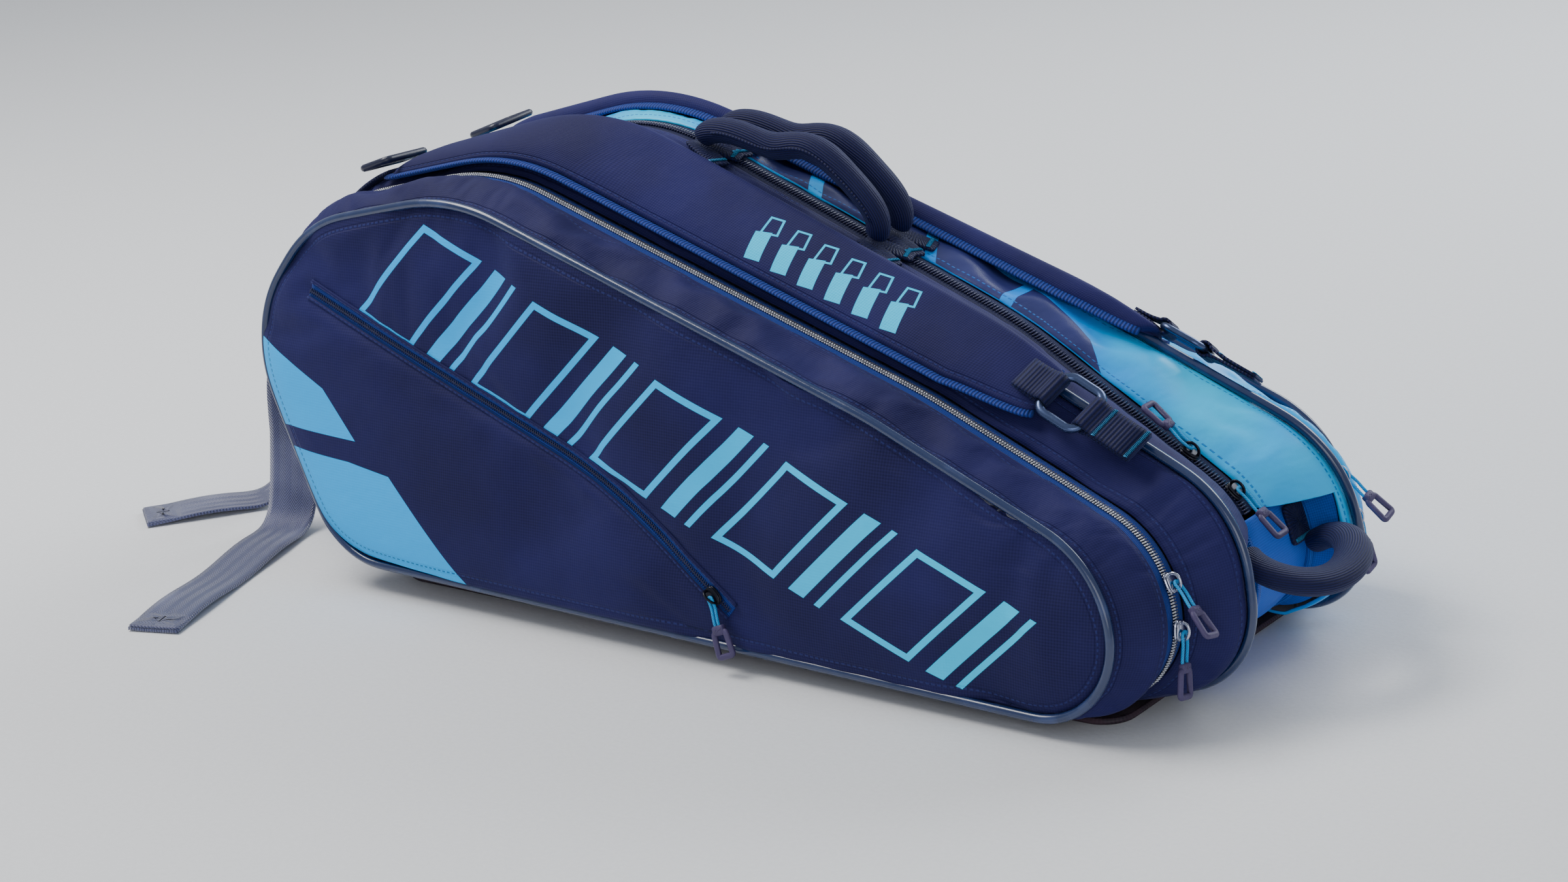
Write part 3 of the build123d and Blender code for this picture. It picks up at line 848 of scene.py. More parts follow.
def strap_prints(g):
    """Slanted shards near the strap's upper end."""
    u, v = g.uv()
    masks = []
    for k in range(6):
        at = 104 + 21 * k
        shard = [(at, 12), (at + 11, 10), (at + 19, 30), (at + 9, 34)]
        chip = [(at + 4, 33), (at + 16, 29), (at + 20, 44), (at + 10, 46)]
        masks.append(g.filled(g.inside(u, v, mm(shard))))
        masks.append(g.outlined(g.inside(u, v, mm(chip)), 1.4 * MM))
    return g.either(masks), CYAN_LIGHT


def shard_prints(g):
    """Dark shards along the centre zip, split by slanting slits."""
    x, y, z = g.split(g.place())
    y = g.math("ABSOLUTE", y)
    shards = [
        [(262, 10), (246, 24), (196, 38), (196, 10)],
        [(188, 10), (188, 40), (150, 46), (120, 46), (140, 10)],
        [(132, 10), (112, 46), (30, 50), (52, 10)],
        [(42, 10), (20, 50), (-40, 50), (-16, 10)],
    ]
    masks = [g.filled(g.inside(x, y, mm(s))) for s in shards]
    top = g.between(z, 0.12, 0.125)
    return g.times(g.either(masks), top), g.mix(g.noise(16.0, 2.0), PRINT_DARK, colour(60, 66, 130))


def far_panel_prints(g):
    """Four dark shards along the far panel."""
    x, z = g.uv()
    masks = []
    for k in range(4):
        left = -230 + 110 * k
        low = 60 - 8 * k
        high = low + 120 - 20 * k
        shard = [(left, low), (left + 60, low - 10), (left + 120, high), (left + 96, high + 10)]
        masks.append(g.filled(g.inside(x, z, mm(shard))))
    return g.either(masks), PRINT_DARK


navy = fabric("navy_fabric", NAVY, NAVY_DARK)
navy_panel = fabric("navy_panel", NAVY, NAVY_DARK, panel_prints, pitch=1.9 * MM, stitch="rim", wrinkle=0.35)
navy_strap = fabric("navy_strap", colour(30, 30, 86), NAVY_DARK, prints=strap_prints, wrinkle=0.3)
blue = coated("blue_coated_fabric")
blue_top = coated("blue_printed_fabric", prints=shard_prints)
blue_panel = coated("blue_panel_fabric", prints=far_panel_prints)
gusset_blue = fabric("gusset_fabric", GUSSET_BLUE, colour(24, 80, 180), roughness=0.55, stitch=None)
tape_royal = zip_tape("zip_tape_royal", ROYAL, colour(16, 36, 96))
tape_navy = zip_tape("zip_tape_navy", colour(20, 24, 70), colour(10, 12, 40))
tape_blue = zip_tape("zip_tape_blue", colour(36, 110, 214), colour(22, 70, 160))
coil_silver = moulded("coil_silver", colour(196, 198, 204), 0.26, metallic=0.75, scratch=0.05)
coil_navy = moulded("coil_navy", colour(20, 24, 66), 0.34, scratch=0.08)
coil_blue = moulded("coil_blue", colour(30, 84, 180), 0.34, scratch=0.08)
grosgrain = ribbed("grosgrain_royal", colour(34, 66, 158), colour(16, 32, 92), pitch=0.0024, depth=0.5)
webbing = ribbed("webbing_navy", WEBBING_NAVY, colour(8, 11, 44), pitch=0.0026, depth=0.5)
webbing_roll = ribbed("webbing_rolled", ROLLED_NAVY, colour(5, 8, 40), 1.6 * MM, across=False, depth=0.3)
tail_webbing = twill_webbing("webbing_twill")
lining = lining_fabric()
base_cover = base_fabric()
piping = piping_cover("piping", colour(26, 44, 84))
ring_metal = moulded("ring_gunmetal", colour(78, 92, 128), 0.3, metallic=0.9, scratch=0.05)
buckle_plastic = moulded("buckle_plastic", colour(26, 30, 56), 0.36, scratch=0.1)
slider_silver = moulded("slider_silver", colour(176, 180, 196), 0.2, metallic=1.0, scratch=0.04)
slider_black = moulded("slider_black", colour(24, 26, 38), 0.3, metallic=0.6, scratch=0.06)
rubber = moulded("pull_rubber", colour(62, 52, 92), 0.55, scratch=0.2)
cord = thread_cord("pull_cord", CYAN)
bartack = thread_cord("bartack_thread", colour(50, 170, 235))


# ---- bands of fabric between the seams -----------------------------------------------------
def band(name, a, b, material, bulge, edge, rows=9, seed=0.0, a_dy=0.0, b_dy=0.0):
    """Fabric from seam a to seam b, bulging outwards; edge is how far in its two rims lie."""
    u = np.linspace(0, 1, COLUMNS, endpoint=False)
    out = a.outward(u)
    grid = []
    for k in range(rows):
        t = k / (rows - 1)
        swell = bulge * (1 - abs(2 * t - 1) ** 2.6)
        line = a.at(u, -edge, a_dy) * (1 - t) + b.at(u, -edge, b_dy) * t
        ripple = [noise.noise(Vector((p[0] * 16 + seed, p[2] * 16, t * 1.3 + seed))) for p in line]
        ripple = np.array(ripple)
        grid.append(line + out * (swell * (1 + 0.45 * ripple))[:, None])
    return sheet(name, grid, material, turn=INSIDE)


def band_pins(rows, columns, depth=1):
    count = rows * columns
    return [i for i in range(count) if i < depth * columns or i >= count - depth * columns]


def soft_band(name, a, b, material, bulge, edge, seed, a_dy=0.0, b_dy=0.0, pressure=1.6, slack=0.03):
    rows = 9
    obj = band(name, a, b, material, bulge, edge, rows, seed, a_dy, b_dy)
    make_soft(obj, band_pins(rows, COLUMNS), pressure, slack, 5 * MM)
    return obj


# ---- padded side panels ---------------------------------------------------------------------
POCKET_LOW, POCKET_HIGH = corners_of("pocket_zip")


def pocket_line():
    """The pocket zip's path on the panel, as x and z, from the tall end to the lower end."""
    p = points("pocket_zip")[:, [0, 2]]
    centre = p.mean(0)
    bend = p[np.argmax((p - centre) @ unit(np.array([0.55, 0.84])))]
    start = np.array([POCKET_LOW.x + 1.5 * MM, POCKET_HIGH.z - 4 * MM])
    finish = np.array([POCKET_HIGH.x - 2.5 * MM, POCKET_LOW.z + 3 * MM])
    return np.array([start, bend - np.array([1.5, 3.8]) * MM, finish])


POCKET_PATH = pocket_line()


def pocket_curve(count):
    """The pocket path with its bend rounded off."""
    a, b, c = POCKET_PATH
    share = 0.22
    before = b + (a - b) * share
    after = b + (c - b) * share * 2.2
    t = np.linspace(0, 1, 24)[:, None]
    turn = before * (1 - t) ** 2 + b * 2 * t * (1 - t) + after * t ** 2
    path = np.vstack([[a], turn, [c]])
    return at_lengths(path, np.linspace(0, run_length(path)[-1], count))


def pocket_distance(p):
    """Signed distance to the pocket path, positive on the pocket's side below it."""
    path = pocket_curve(160)
    gap = p[:, None, :] - path[None]
    far = np.hypot(gap[..., 0], gap[..., 1])
    nearest = far.argmin(1)
    ahead = np.gradient(path, axis=0)[nearest]
    offset = p - path[nearest]
    side = np.sign(ahead[:, 0] * offset[:, 1] - ahead[:, 1] * offset[:, 0])
    return -side * far.min(1)


def patch(seam, rim_inset, long_count, short_count):
    """Points of a grid stretched inside a seam, from its foot to its top, as rows of x and z."""
    corner_x = seam.flat[:, 0].min() * 0.62, seam.flat[:, 0].max() * 0.80
    u = np.linspace(0, 1, 2001)
    edge = seam.at(u, -rim_inset)[:, [0, 2]]
    high = 9.0 * (edge[:, 1] >= edge[:, 1].max() * 0.5)

    def foot_at(half, x):
        return u[half][np.argmin(np.abs(edge[half, 0] - x) + high[half])]

    foot_right = foot_at(u < 0.5, corner_x[1])
    foot_left = foot_at(u > 0.5, corner_x[0])
    top_right = seam.top_u(seam.flat[:, 0].max() * 0.86)
    top_left = seam.top_u(seam.flat[:, 0].min() * 0.72)
    s, t = np.linspace(0, 1, long_count), np.linspace(0, 1, short_count)

    def edge_line(start, end, share):
        return seam.at(start + (end - start) * share, -rim_inset)[:, [0, 2]]

    bottom = edge_line(foot_left - 1, foot_right, s)[None]
    top = edge_line(top_left, top_right, s)[None]
    left = edge_line(foot_left, top_left, t)[:, None]
    right = edge_line(foot_right, top_right, t)[:, None]
    s, t = s[None, :, None], t[:, None, None]
    corners = sum(
        (line[:, :1] * (1 - s) + line[:, -1:] * s) * share
        for line, share in ((bottom, 1 - t), (top, t))
    )
    return relaxed(bottom * (1 - t) + top * t + left * (1 - s) + right * s - corners)


def relaxed(grid, passes=600):
    """Moves inner points to the mean of their neighbours, so that no face folds over at a corner."""
    for _ in range(passes):
        grid[1:-1, 1:-1] = (grid[2:, 1:-1] + grid[:-2, 1:-1] + grid[1:-1, 2:] + grid[1:-1, :-2]) / 4
    return grid


def rim_distance(flat, seam, rim_inset):
    """Distance of flat points to a seam's rim, and the length along the rim to the nearest point."""
    u = np.linspace(0, 1, 900)
    edge = seam.at(u, -rim_inset)[:, [0, 2]]
    along = run_length(edge)
    gap = np.linalg.norm(flat[:, None] - edge[None], axis=2)
    return gap.min(1), along[gap.argmin(1)]


def set_layer(obj, name, values):
    """Stores one (u, v) per vertex as a UV layer."""
    mesh = obj.data
    corner = np.empty(len(mesh.loops), int)
    mesh.loops.foreach_get("vertex_index", corner)
    layer = mesh.uv_layers.get(name) or mesh.uv_layers.new(name=name)
    layer.data.foreach_set("uv", np.asarray(values, np.float32)[corner].ravel())


PANEL_RIM = 1.5 * MM       # the panel's edge lies this far inside its piping
OUTER_SLOT = {NEAR: "navy_fabric", FAR: "blue_coated_fabric"}


def wall(name, seam, side, rows, height, material):
    """A sheet on a panel's grid, standing out from the seam's plane by height."""
    flat = rows.reshape(-1, 2)
    y = seam.foot + seam.lean * flat[:, 1] - height
    grid = mirror(np.stack([flat[:, 0], y, flat[:, 1]], -1), side).reshape(*rows.shape[:2], 3)
    return sheet(name, grid, material, closed=False, flat=True, turn=INSIDE)


def side_panel(side, material):
    """The padded panel: crowned near its piping, with the pocket's zip pressed into it."""
    crown = 7.5 * MM
    rows = patch(PANEL, PANEL_RIM, 121, 45)
    flat = rows.reshape(-1, 2)
    inward, along = rim_distance(flat, PANEL, PANEL_RIM)
    height = crown * (1 - np.exp(-inward / (15 * MM))) - 2.0 * MM
    if side == NEAR:
        away = pocket_distance(flat)
        groove = 4.2 * MM * np.exp(-(away / (6 * MM)) ** 2)
        fullness = 2.0 * MM / (1 + np.exp(-(away - 9 * MM) / (3 * MM)))
        height = height - groove + fullness
    ripple = [noise.noise(Vector((p[0] * 9, p[1] * 9, 3.0 if side == NEAR else 8.0))) for p in flat]
    height = height + 2.2 * MM * np.array(ripple) * np.minimum(1, inward / (30 * MM))
    obj = wall(f"{side}_side_panel_cover", PANEL, side, rows, height, material)
    set_layer(obj, "Rim", np.stack([inward, along], -1))
    pins = list(np.nonzero(inward < 0.1 * MM)[0])
    if side == NEAR:
        pins += list(np.nonzero(np.abs(away) < 7 * MM)[0])
    make_soft(obj, pins, 0.5, 0.012, 3.5 * MM)
    return obj


def finish_panel(obj, side):
    """Gives the panel its foam, which thins out towards the piping."""
    refine(obj)
    inward, _ = rim_distance(coords(obj)[:, [0, 2]], PANEL, PANEL_RIM)
    thicken(obj, 8 * MM, lining, np.clip(inward / (16 * MM), 0.15, 1.0))
    nodes = [f"{side}_side_panel", f"{side}_panel_foam"] + ["pocket_panel"] * (side == NEAR)
    place(obj, f"{side}_lid", *nodes, slot=OUTER_SLOT[side])


# ---- zips --------------------------------------------------------------------------------------
def tooth(length, radius):
    """Points and faces of one tooth: a short bar along y that thickens to a rounded head."""
    sides = 6
    shape = [(0.0, 0.55), (0.15, 0.8), (0.7, 0.8), (0.85, 1.0), (1.0, 0.55)]
    verts = []
    for share, size in shape:
        for k in range(sides):
            a = math.tau * k / sides
            verts.append((radius * size * math.cos(a), share * length, radius * size * math.sin(a) * 1.25))
    faces = []
    for ring in range(len(shape) - 1):
        for k in range(sides):
            j = (k + 1) % sides
            here, there = ring * sides, (ring + 1) * sides
            faces.append((here + k, there + k, there + j, here + j))
    faces.append(tuple(range(sides)))
    faces.append(tuple((len(shape) - 1) * sides + k for k in range(sides))[::-1])
    return np.array(verts), faces


def chain(name, place_at, ahead, inward, upward, material, length, radius):
    """One row of teeth; each stands at a place, reaches along inward and faces upward."""
    verts, faces = tooth(length, radius)
    all_verts = (
        place_at[:, None, :]
        + ahead[:, None, :] * verts[None, :, 0:1]
        + inward[:, None, :] * verts[None, :, 1:2]
        + upward[:, None, :] * verts[None, :, 2:3]
    ).reshape(-1, 3)
    size = len(verts)
    all_faces = [tuple(i + size * k for i in f) for k in range(len(place_at)) for f in faces]
    obj = new_object(name, all_verts, all_faces, material)
    fix_normals(obj)
    return obj


def even_u(seam, pitch, low, high, phase=0.0):
    """Values of u an even pitch apart along a seam."""
    u = np.linspace(low, high, 4000)
    length = run_length(seam.at(u))
    count = int(length[-1] / pitch)
    return np.interp((np.arange(count) + phase) * pitch, length, u)


def zip_side(name, seam, side, sign, looks, low=0.0, high=1.0, pitch=1.9 * MM, size=1.0):
    """Tape and teeth on one side of a zip; sign is -1 on the near side of its seam, 1 on the far side.

    looks holds the materials of the tape and the teeth.
    """
    closed = high - low > 0.999
    u = np.linspace(low, high, int(COLUMNS * (high - low)) + 1)
    u = u[:-1] if closed else u
    outer = [seam.at(u, -TAPE_INSET - 0.4 * MM, sign * w * MM) for w in (9.2, 6.0, 2.6, 1.2)]
    outer = [mirror(row, side) for row in outer]
    tape = sheet(f"{name}_tape", outer, looks[0], closed=closed, turn=INSIDE)
    thicken(tape, TAPE_T)
    at = even_u(seam, pitch, low, high, 0.0 if sign < 0 else 0.5)
    stand = seam.at(at, -TAPE_INSET + 0.5 * MM, sign * 3.1 * MM * size)
    ahead = unit(seam.at(at + 1e-4) - seam.at(at - 1e-4))
    upward = seam.outward(at)
    inward = np.cross(upward, ahead)
    inward = inward * np.sign(-sign * inward[:, 1:2])
    parts = [mirror(p, side) for p in (stand, ahead, inward, upward)]
    teeth = chain(f"{name}_teeth", *parts, looks[1], 3.9 * MM * size, 0.72 * MM * size)
    return tape, teeth


def lid_range():
    """The stretch of the zip seam that lies above the lid's cut."""
    u = np.linspace(0, 1, 2001)
    p = ZIP.at(u, -TAPE_INSET, -4 * MM)
    above = (p - np.array(HINGE)) @ np.array(LID_CUT_NORMAL) > 0.5 * MM
    inside = u[above]
    return inside.min(), inside.max()


def centre_range():
    """The stretch of the centre zip outside the end gusset."""
    u = np.linspace(0, 1, 2001)
    p = MIDDLE.at(u, -TAPE_INSET)
    cut = (p[:, 0] > GUSSET_X - 1 * MM) & (p[:, 2] < GUSSET_Z + 1 * MM)
    return u[cut].max(), 1.0 + u[cut].min()


# ---- handles, straps and fittings ----------------------------------------------------------------
def polar_path(node, centre, axes, count):
    """Middle line of a bent tube: its radius from a centre fitted against the angle round it."""
    p = points(node)
    i, j, k = axes
    dx, dz = p[:, i] - centre[0], p[:, j] - centre[1]
    angle = np.arctan2(dz, dx)
    radius = np.hypot(dx, dz)
    fit = np.polyfit(angle, radius, 6)
    other = np.polyfit(angle, p[:, k], 4)
    a = np.linspace(angle.max(), angle.min(), count)
    path = np.zeros((count, 3))
    path[:, i] = centre[0] + np.polyval(fit, a) * np.cos(a)
    path[:, j] = centre[1] + np.polyval(fit, a) * np.sin(a)
    path[:, k] = np.polyval(other, a)
    return path


def squared(share, power):
    """A sine or cosine, pushed outwards so that its circle turns into a rounded square."""
    return np.copysign(np.abs(share) ** power, share)


def box_patch(name, frame3, length, width, thickness, material, corner=0.22):
    """A sewn patch or plate with rounded corners and softened edges, centred on a local frame."""
    origin, x, y, z = frame3
    a = math.tau * np.arange(44) / 44
    cx, cy = squared(np.cos(a), corner)[:, None], squared(np.sin(a), corner)[:, None]
    rings = []
    for inset, height in ((0.06, 0.0), (0.0, 0.25), (0.0, 0.75), (0.08, 1.0), (0.55, 1.06), (0.97, 1.08)):
        reach_x = length / 2 - inset * width / 2
        reach_y = width / 2 * (1 - inset)
        rings.append(origin + x * cx * reach_x + y * cy * reach_y + z * (height * thickness))
    return closed_sheet(name, rings, material)


def corner_arcs(x, y, radius, steps):
    """A closed line of four quarter circles, centred on the corners of a rectangle 2x by 2y."""
    line = []
    for cx, cy, start in ((1, 1, 0), (-1, 1, 90), (-1, -1, 180), (1, -1, 270)):
        for k in range(steps + 1):
            t = math.radians(start + 90 * k / steps)
            line.append((cx * x + radius * math.cos(t), cy * y + radius * math.sin(t)))
    return np.array(line)


def hoop(name, frame3, length, width, corner, half_wide, half_thick, material, taper=0.0):
    """A rounded rectangular ring of bar, lying in the x-y plane of a local frame."""
    origin, x, y, z = frame3
    a = length / 2 - half_wide
    b = width / 2 - half_wide
    path = corner_arcs(a - corner, b - corner, corner, 6)
    path[:, 1] *= 1 - taper * path[:, 0] / a
    line = origin + path[:, :1] * x + path[:, 1:] * y
    return tube(name, line, 1.0, material, sides=10, closed=True, squeeze=(half_wide, half_thick), up=z)


STRAP_LOW = 0.15           # the strap's near edge, as a share of the way from the zip to the divider
STRAP_HIGH = 0.25          # its far edge, as a share of the way from the divider to the middle
STRAP_RIDGE = 0.62         # the share of its width that lies on the near side of the divider


def strap_surface(side):
    """The surface shared by the strap, its binding and its webbing, as a function that gives its points."""
    low = mix(ZIP, DIVIDER, STRAP_LOW)
    high = mix(DIVIDER, MIDDLE, STRAP_HIGH)

    def at(u, s, out):
        """A point across the strap: s runs from 0 at its near edge to 1 at its far edge."""
        if s < STRAP_RIDGE:
            seam = mix(low, DIVIDER, s / STRAP_RIDGE)
        else:
            seam = mix(DIVIDER, high, (s - STRAP_RIDGE) / (1 - STRAP_RIDGE))
        return mirror(seam.at(u, out), side)

    return at


RING_LOW, _ = corners_of("near_strap_ring")
PAD_LOW, _ = corners_of("near_strap_pad")


def strap_pad(side):
    """The padded strap: a pillow with narrowed ends, lying over the seams."""
    at = strap_surface(side)
    u_start = DIVIDER.top_u(RING_LOW.x - 4 * MM)
    u_end = DIVIDER.top_u(PAD_LOW.x + 2 * MM)
    u = np.linspace(u_start, u_end, 150)
    share = np.linspace(0, 1, len(u))
    taper = np.minimum(1, 0.62 + 0.38 * np.minimum(1, share / 0.09) ** 0.6)
    taper = np.minimum(taper, 0.7 + 0.3 * np.minimum(1, (1 - share) / 0.05) ** 0.6)
    thin = np.minimum(1, np.minimum(share / 0.05, (1 - share) / 0.04)) ** 0.5
    skew = 0.009 * (1 - share) ** 3

    def edge_height(s):
        """Height of the pad's edge over the seams: it clears the piping and drops at both sides."""
        return 6.9 * MM - 4.2 * MM * abs((s - STRAP_RIDGE) / STRAP_RIDGE) ** 1.3

    across = 13
    top_row = [(k / (across - 1), True) for k in range(across)]
    section = top_row + [(s, False) for s, _ in top_row[-2:0:-1]]
    rows = []
    for s, is_top in section:
        puff = (1 - abs(2 * s - 1) ** 3.5) ** 0.6
        columns = []
        for value, wide, thick, lag in zip(u, taper, thin, skew):
            place_s = 0.5 + (s - 0.5) * wide
            rise = 8.0 * MM * puff * (0.35 + 0.65 * thick) if is_top else -2.5 * MM * puff
            columns.append(at(value - lag * (1 - place_s), place_s, edge_height(place_s) + rise))
        rows.append(columns)
    obj = sheet(f"{side}_strap_cover", rows, navy_strap, closed=False, closed_rows=True)
    cap_ends(obj)
    fix_normals(obj)
    refine(obj)
    place(obj, f"{side}_strap", f"{side}_strap_pad", slot="navy_fabric")
    for edge_name, s in (("lower", 0.0), ("upper", 1.0)):
        place_s = 0.5 + (s - 0.5) * taper
        line = [at(v - lag * (1 - t), t, edge_height(t)) for v, t, lag in zip(u, place_s, skew)]
        line = np.array(line)
        up = np.cross(mirror(DIVIDER.outward(u), side), np.gradient(line, axis=0))
        name = f"{side}_strap_binding_{edge_name}"
        binding = tube(name, line, 1.0, grosgrain, sides=10, squeeze=(1.9 * MM, 5.2 * MM), up=up)
        place(binding, f"{side}_strap", slot="webbing")


def principal_frame(node):
    """Centre and axes of a flat node, its x along the bag, y across it and z away from it."""
    p = points(node)
    centre = (p.min(0) + p.max(0)) / 2
    _, axes = np.linalg.eigh(np.cov((p - p.mean(0)).T))
    z = axes[:, 0]
    z = z * (1 if z @ (centre - np.array(INSIDE)) > 0 else -1)
    rest = [axes[:, 1], axes[:, 2]]
    x = max(rest, key=lambda v: abs(v[0]))
    x = x * np.sign(x[0])
    return centre, x, np.cross(z, x), z


def folded_webbing(name, frame3, bar_x, reach, width, material, thickness=1.8 * MM):
    """Webbing folded round a ring's bar, its two layers running flat towards reach."""
    origin, x, y, z = frame3
    sign = math.copysign(1, reach)
    eye = 4.6 * MM
    profile = []
    for k in range(13):
        a = math.radians(35 + 290 * k / 12)
        profile.append((sign * math.cos(a) * eye, math.sin(a) * eye))
    stop = abs(reach)
    top = [(sign * d, h) for d, h in ((stop, 1.1 * MM), (stop * 0.6, 1.2 * MM), (eye * 1.9, 1.6 * MM))]
    line = top + profile + [(d, -h) for d, h in reversed(top)]
    rows = []
    for k in range(7):
        w = (k / 6 - 0.5) * width
        rows.append([origin + x * (bar_x + a) + z * b + y * w for a, b in line])
    obj = sheet(name, rows, material, closed=False)
    thicken(obj, thickness, offset=0)
    return obj


def bartack_row(name, frame3, x_at, width, lift, body):
    """A dense zigzag of thread sewn across webbing."""
    origin, x, y, z = frame3
    count = 46
    line = []
    for k in range(count):
        w = (k / (count - 1) - 0.5) * width
        swing = (1 if k % 2 else -1) * 1.1 * MM
        line.append(origin + x * (x_at + swing) + y * w + z * lift)
    obj = tube(name, line, 0.42 * MM, bartack, sides=5, up=z)
    return place(obj, body)


RING_LENGTH = 36 * MM
RING_WIDTH = 38 * MM
RING_BAR = 5.5 * MM
LOOP_WIDTH = 23 * MM


def strap_fittings(side):
    """The strap's ring, held by folded webbing at both bars, and its adjuster."""
    frame3 = principal_frame(f"{side}_strap_ring")
    strap, half = f"{side}_strap", f"{side}_half"
    ring_size = RING_LENGTH, RING_WIDTH, 7.5 * MM, 3.0 * MM, 2.6 * MM
    ring = hoop(f"{side}_strap_ring_body", frame3, *ring_size, ring_metal)
    place(ring, strap, f"{side}_strap_ring", slot="ring_metal")
    bar = (RING_LENGTH - RING_BAR) / 2
    tab = folded_webbing(f"{side}_ring_tab_webbing", frame3, bar, 38 * MM, LOOP_WIDTH, webbing)
    place(tab, half, f"{side}_ring_tab", slot="webbing")
    bartack_row(f"{side}_ring_tab_bartack", frame3, bar + 11 * MM, LOOP_WIDTH, 2.6 * MM, half)
    bartack_row(f"{side}_ring_tab_bartack_end", frame3, bar + 36 * MM, LOOP_WIDTH, 2.5 * MM, half)
    loop = folded_webbing(f"{side}_strap_loop_webbing", frame3, -bar, -22 * MM, LOOP_WIDTH, webbing)
    place(loop, strap, slot="webbing")
    adjuster = principal_frame(f"{side}_strap_adjuster")
    adjuster_size = 30 * MM, 46 * MM, 4 * MM, 2.6 * MM, 2.6 * MM
    frame_part = hoop(f"{side}_adjuster_frame", adjuster, *adjuster_size, buckle_plastic)
    place(frame_part, strap, f"{side}_strap_adjuster", slot="buckle_plastic")
    centre, _, ay, az = adjuster
    middle = [centre + ay * w * MM for w in np.linspace(-22, 22, 12)]
    bar_size = 3 * MM, 2.2 * MM
    crossbar = tube(f"{side}_adjuster_bar", middle, 1.0, buckle_plastic, sides=10, squeeze=bar_size, up=az)
    place(crossbar, strap, slot="buckle_plastic")


def lower_webbing(side):
    """Webbing from the adjuster, down the tall end to the foot of the bag."""
    at = strap_surface(side)
    u_top = DIVIDER.top_u(PAD_LOW.x - 2 * MM)
    low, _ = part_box("near_lower_webbing")
    u = np.linspace(u_top, 0.8, 400)
    z = np.array([DIVIDER.at(v)[2] for v in u])
    u_low = u[np.argmin(np.abs(z - low[2]))]
    u = np.linspace(u_top, u_low, 60)
    share = np.linspace(0, 1, len(u))
    stand = 3.6 * MM + 3.9 * MM * np.exp(-6 * share) + 0.8 * MM * np.sin(9 * share)
    rows = [[at(v, s, out) for v, out in zip(u, stand)] for s in np.linspace(0.16, 0.74, 5)]
    obj = sheet(f"{side}_lower_webbing_strap", rows, webbing, closed=False)
    thicken(obj, 2 * MM, offset=0)
    settle(obj)
    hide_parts(f"{side}_lower_webbing")
    top = coords(obj)[np.argmax(coords(obj)[:, 2])]
    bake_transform(obj)


FORK_TURN = 0.32           # angle between a handle foot and the crest, in radians


def carry_handle(side):
    """A rolled handle over the crest, with two sewn feet at each end."""
    low, high = corners_of("near_carry_handle")
    centre = ((low.x + high.x) / 2, low.z + 6 * MM)
    path = polar_path("near_carry_handle", centre, (0, 2, 1), 60)
    path[:, 1] = (low.y + high.y) / 2
    path = mirror(path, side)
    share = np.linspace(0, 1, len(path))
    grip = 9.2 * MM * (0.84 + 0.16 * np.sin(math.pi * share) ** 0.4)
    ripple = 1 + 0.012 * np.sin(share * 23)
    name = f"{side}_carry_handle_roll"
    obj = tube(name, path, grip * ripple, webbing_roll, sides=22, squeeze=(1.0, 0.94))
    refine(obj)
    place(obj, f"{side}_handle", f"{side}_carry_handle", slot="webbing")
    sign_y = SIGN[side]
    ridge = path + np.array([0, sign_y, 0]) * (grip * 0.985)[:, None]
    seam_line = tube(f"{side}_carry_handle_seam", ridge[4:-4], 0.8 * MM, webbing, sides=6)
    place(seam_line, f"{side}_handle")
    for tag, end in (("low", -1), ("high", 0)):
        u = MIDDLE.top_u(path[end][0])
        out = MIDDLE.outward(u)
        slope = unit(MIDDLE.at(u - 0.001) - MIDDLE.at(u + 0.001))
        for fork, spread in (("near", 1), ("far", -1)):
            turn = spread * FORK_TURN
            x = unit(slope * math.cos(turn) + np.array([0, sign_y, 0]) * math.sin(turn))
            y = unit(np.cross(out, x))
            across = np.array([0, sign_y * (13 + 3 * spread) * MM, 0])
            frame3 = (MIDDLE.at(u, -1.5 * MM) + across + x * 9 * MM, x, y, out)
            name = f"{side}_handle_foot_{tag}_{fork}"
            foot = box_patch(name, frame3, 34 * MM, 15 * MM, 2.2 * MM, webbing)
            nodes = [f"{side}_handle_feet"] if (tag, fork) == ("low", "near") else []
            place(foot, f"{side}_half", *nodes, slot="webbing")
            name = f"{side}_handle_bartack_{tag}_{fork}"
            bartack_row(name, frame3, 12 * MM, 13 * MM, 2.7 * MM, f"{side}_half")


def end_handle():
    """The rolled handle at the narrow end, on two feet."""
    low, _ = corners_of("end_handle")
    path = polar_path("end_handle", (low.x + 2 * MM, 0.0), (0, 1, 2), 64)
    share = np.linspace(0, 1, len(path))
    grip = 10.4 * MM * (0.9 + 0.16 * np.sin(math.pi * share))
    obj = tube("end_handle_roll", path, grip, webbing_roll, sides=22, squeeze=(1.12, 0.82), up=[0, 0, 1])
    refine(obj)
    place(obj, "end_handle", "end_handle", slot="webbing")
    foot_low, foot_high = corners_of("end_handle_feet")
    u_all = np.linspace(0.0, 0.5, 600)
    x_all, _, z_all = MIDDLE.at(u_all).T
    u = u_all[np.argmin(np.abs(z_all - (foot_low.z + foot_high.z) / 2) + (x_all < GUSSET_X))]
    out = MIDDLE.outward(u)
    rise = unit(MIDDLE.at(u + 0.001) - MIDDLE.at(u - 0.001))
    for tag, sign in SIGN.items():
        origin = MIDDLE.at(u, -2.5 * MM) + np.array([0, sign * (foot_high.y - 10 * MM), 0])
        frame3 = (origin, rise, np.cross(out, rise), out)
        foot = box_patch(f"end_handle_foot_{tag}", frame3, 26 * MM, 22 * MM, 3 * MM, webbing)
        place(foot, "root", *(["end_handle_feet"] if tag == NEAR else []), slot="webbing")
        bartack_row(f"end_handle_bartack_{tag}", frame3, -10 * MM, 18 * MM, 3.5 * MM, "root")


